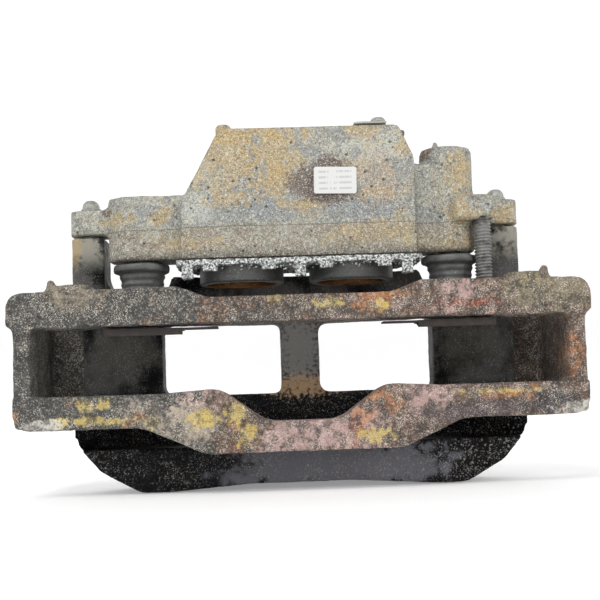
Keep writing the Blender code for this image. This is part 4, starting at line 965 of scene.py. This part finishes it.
class CALIPER_OT_small_parts(bpy.types.Operator):
    """Pins, nuts, seals, bleed screw, clips and plugs with broken edges"""

    bl_idname = "caliper.small_parts"
    bl_label = "Small parts"

    def execute(self, context):
        sizes = context.scene.caliper_sizes
        colours = context.scene.caliper_colours
        steel = metal_coat("pin_steel_greased", colours.steel, 0.32, 0.85, (0.20, 0.16, 0.10), 0.5)
        zinc = metal_coat("zinc_dull", (0.46, 0.46, 0.43), 0.5, 0.7, (0.25, 0.18, 0.10), 0.6)
        bright = metal_coat("sheet_bright", (0.46, 0.47, 0.44), 0.40, 0.5, (0.27, 0.24, 0.19), 0.6)
        spring = metal_coat("sheet_spring", (0.030, 0.025, 0.024), 0.60, 0.3,
                            (0.075, 0.048, 0.036), 0.6)
        rubber = rubber_coat("seal_rubber", colours, 0.45, 0.3)
        kinds = [("bleed_screw", "bleed_screw_hex", "bleeder", "zinc", zinc),
                 ("bleed_cap", "bleed_cap_rubber", "bleeder", "black_rubber", rubber),
                 ("clip_plate", "clip_plate_bent", "housing", "bright_sheet", bright),
                 ("clip_screw", "clip_screw_head", "housing", "zinc", zinc),
                 ("guide_bore_plug", "bore_plug_cap", "housing", "zinc", zinc)]
        for side in (LEFT, RIGHT):
            kinds += [
                (f"guide_pin_{side}", f"slide_pin_{side}", "carrier", "pin_steel", steel),
                (f"guide_pin_nut_{side}", f"slide_pin_nut_{side}", "carrier", "zinc", zinc),
                (f"pad_clip_{side}", f"pad_spring_{side}", "carrier", "spring_sheet", spring),
                (f"guide_bush_{side}", f"slide_bush_{side}", "housing", "black_rubber", rubber),
                (f"piston_seal_{side}", f"fluid_seal_{side}", "housing", "black_rubber", rubber),
                (f"dust_seal_{side}", f"wiper_seal_{side}", "housing", "black_rubber", rubber),
            ]
        for node, name, body, slot, material in kinds:
            made = machined(node, name, sizes.edge)
            dress(made, material)
            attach(made, body)
            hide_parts(node)
        return {"FINISHED"}


class CALIPER_OT_studio(bpy.types.Operator):
    """Pale floor that curves up into a wall, soft lights and the camera"""

    bl_idname = "caliper.studio"
    bl_label = "Studio"

    def execute(self, context):
        scene = context.scene
        colours = scene.caliper_colours
        wall, top = 2.5, 3.2
        sweep = [(1.6, 0.0), (1.9, 0.03), (2.2, 0.16), (2.45, 0.45)]
        profile = [(0.02, 0.0)] + sweep + [(wall, 0.9), (wall, top)]
        floor = turned("studio_floor", profile, (0, 0, 0), sides=96)
        select_only(floor)
        bpy.ops.object.mode_set(mode="EDIT")
        bpy.ops.mesh.select_all(action="DESELECT")
        bpy.ops.object.mode_set(mode="OBJECT")
        for face in floor.data.polygons:
            face.select = face.center.z > top - 0.1
        bpy.ops.object.mode_set(mode="EDIT")
        bpy.ops.mesh.delete(type="ONLY_FACE")
        bpy.ops.mesh.select_all(action="SELECT")
        bpy.ops.mesh.flip_normals()
        bpy.ops.object.mode_set(mode="OBJECT")
        settle(floor, math.radians(60))
        coat = Coat("studio_paper", colours.studio, 0.9)
        coat.lay(coat.between(coat.noise(0.4, 2), 0.3, 0.7), PAPER_SHADE, 0.3)
        coat.shader.inputs["Emission Color"].default_value = (1.0, 1.0, 1.0, 1.0)
        coat.shader.inputs["Emission Strength"].default_value = 0.25
        floor.data.materials.append(coat.finish())
        self.lights(scene)
        self.camera(scene)
        scene.view_settings.view_transform = "Standard"
        return {"FINISHED"}

    def lights(self, scene):
        world = bpy.data.worlds.new("studio_air")
        world.use_nodes = True
        air = world.node_tree.nodes["Background"]
        air.inputs["Color"].default_value = (1.0, 1.0, 1.0, 1.0)
        air.inputs["Strength"].default_value = 0.27
        scene.world = world
        middle = Vector((0.0, 0.0, 0.10))
        lamps = (
            ("key", (-0.45, -1.10, 1.45), 0.7, 11.0),
            ("fill", (1.10, -1.10, 0.75), 1.1, 2.4),
            ("front", (0.0, -1.60, 0.30), 0.9, 1.0),
            ("back", (0.2, 1.35, 1.10), 1.2, 6.0),
        )
        for name, place, size, power in lamps:
            data = bpy.data.lights.new(name, "AREA")
            data.shape = "DISK"
            data.size = size
            data.energy = power
            lamp = bpy.data.objects.new(name, data)
            scene.collection.objects.link(lamp)
            lamp.location = place
            lamp.rotation_euler = (middle - Vector(place)).to_track_quat("-Z", "Y").to_euler()

    def camera(self, scene):
        data = bpy.data.cameras.new("viewpoint")
        data.lens = 71.3
        data.sensor_width = 36.0
        made = bpy.data.objects.new("viewpoint", data)
        scene.collection.objects.link(made)
        place = Vector((-0.018, -0.650, 0.049))
        aim = Vector((0.0, -0.050, 0.0965))
        turn = (aim - place).to_track_quat("-Z", "Y").to_matrix()
        roll = Matrix.Rotation(math.radians(-1.9), 3, "Z")
        made.matrix_world = Matrix.Translation(place) @ (turn @ roll).to_4x4()
        scene.camera = made


class CALIPER_PT_panel(bpy.types.Panel):
    """Lists the steps, the sizes and the colours"""

    bl_idname = "CALIPER_PT_panel"
    bl_label = "Caliper finish"
    bl_space_type = "VIEW_3D"
    bl_region_type = "UI"
    bl_category = "Caliper"

    def draw(self, context):
        for kind in STEPS:
            self.layout.operator(kind.bl_idname)
        for group in (context.scene.caliper_sizes, context.scene.caliper_colours):
            for name in group.__annotations__:
                self.layout.prop(group, name)


STEPS = (
    CALIPER_OT_studio,
    CALIPER_OT_castings,
    CALIPER_OT_retainer,
    CALIPER_OT_guide_boots,
    CALIPER_OT_stud,
    CALIPER_OT_bridge_bolts,
    CALIPER_OT_pistons,
    CALIPER_OT_label,
    CALIPER_OT_small_parts,
)
CLASSES = (CaliperSizes, CaliperColours) + STEPS + (CALIPER_PT_panel,)


def register():
    for kind in CLASSES:
        bpy.utils.register_class(kind)
    bpy.types.Scene.caliper_sizes = PointerProperty(type=CaliperSizes)
    bpy.types.Scene.caliper_colours = PointerProperty(type=CaliperColours)


def unregister():
    del bpy.types.Scene.caliper_colours
    del bpy.types.Scene.caliper_sizes
    for kind in reversed(CLASSES):
        bpy.utils.unregister_class(kind)


def main():
    register()
    bpy.ops.object.select_all(action="DESELECT")
    for kind in STEPS:
        group, name = kind.bl_idname.split(".")
        getattr(getattr(bpy.ops, group), name)()
    bpy.context.view_layer.update()


if __name__ == "__main__":
    main()
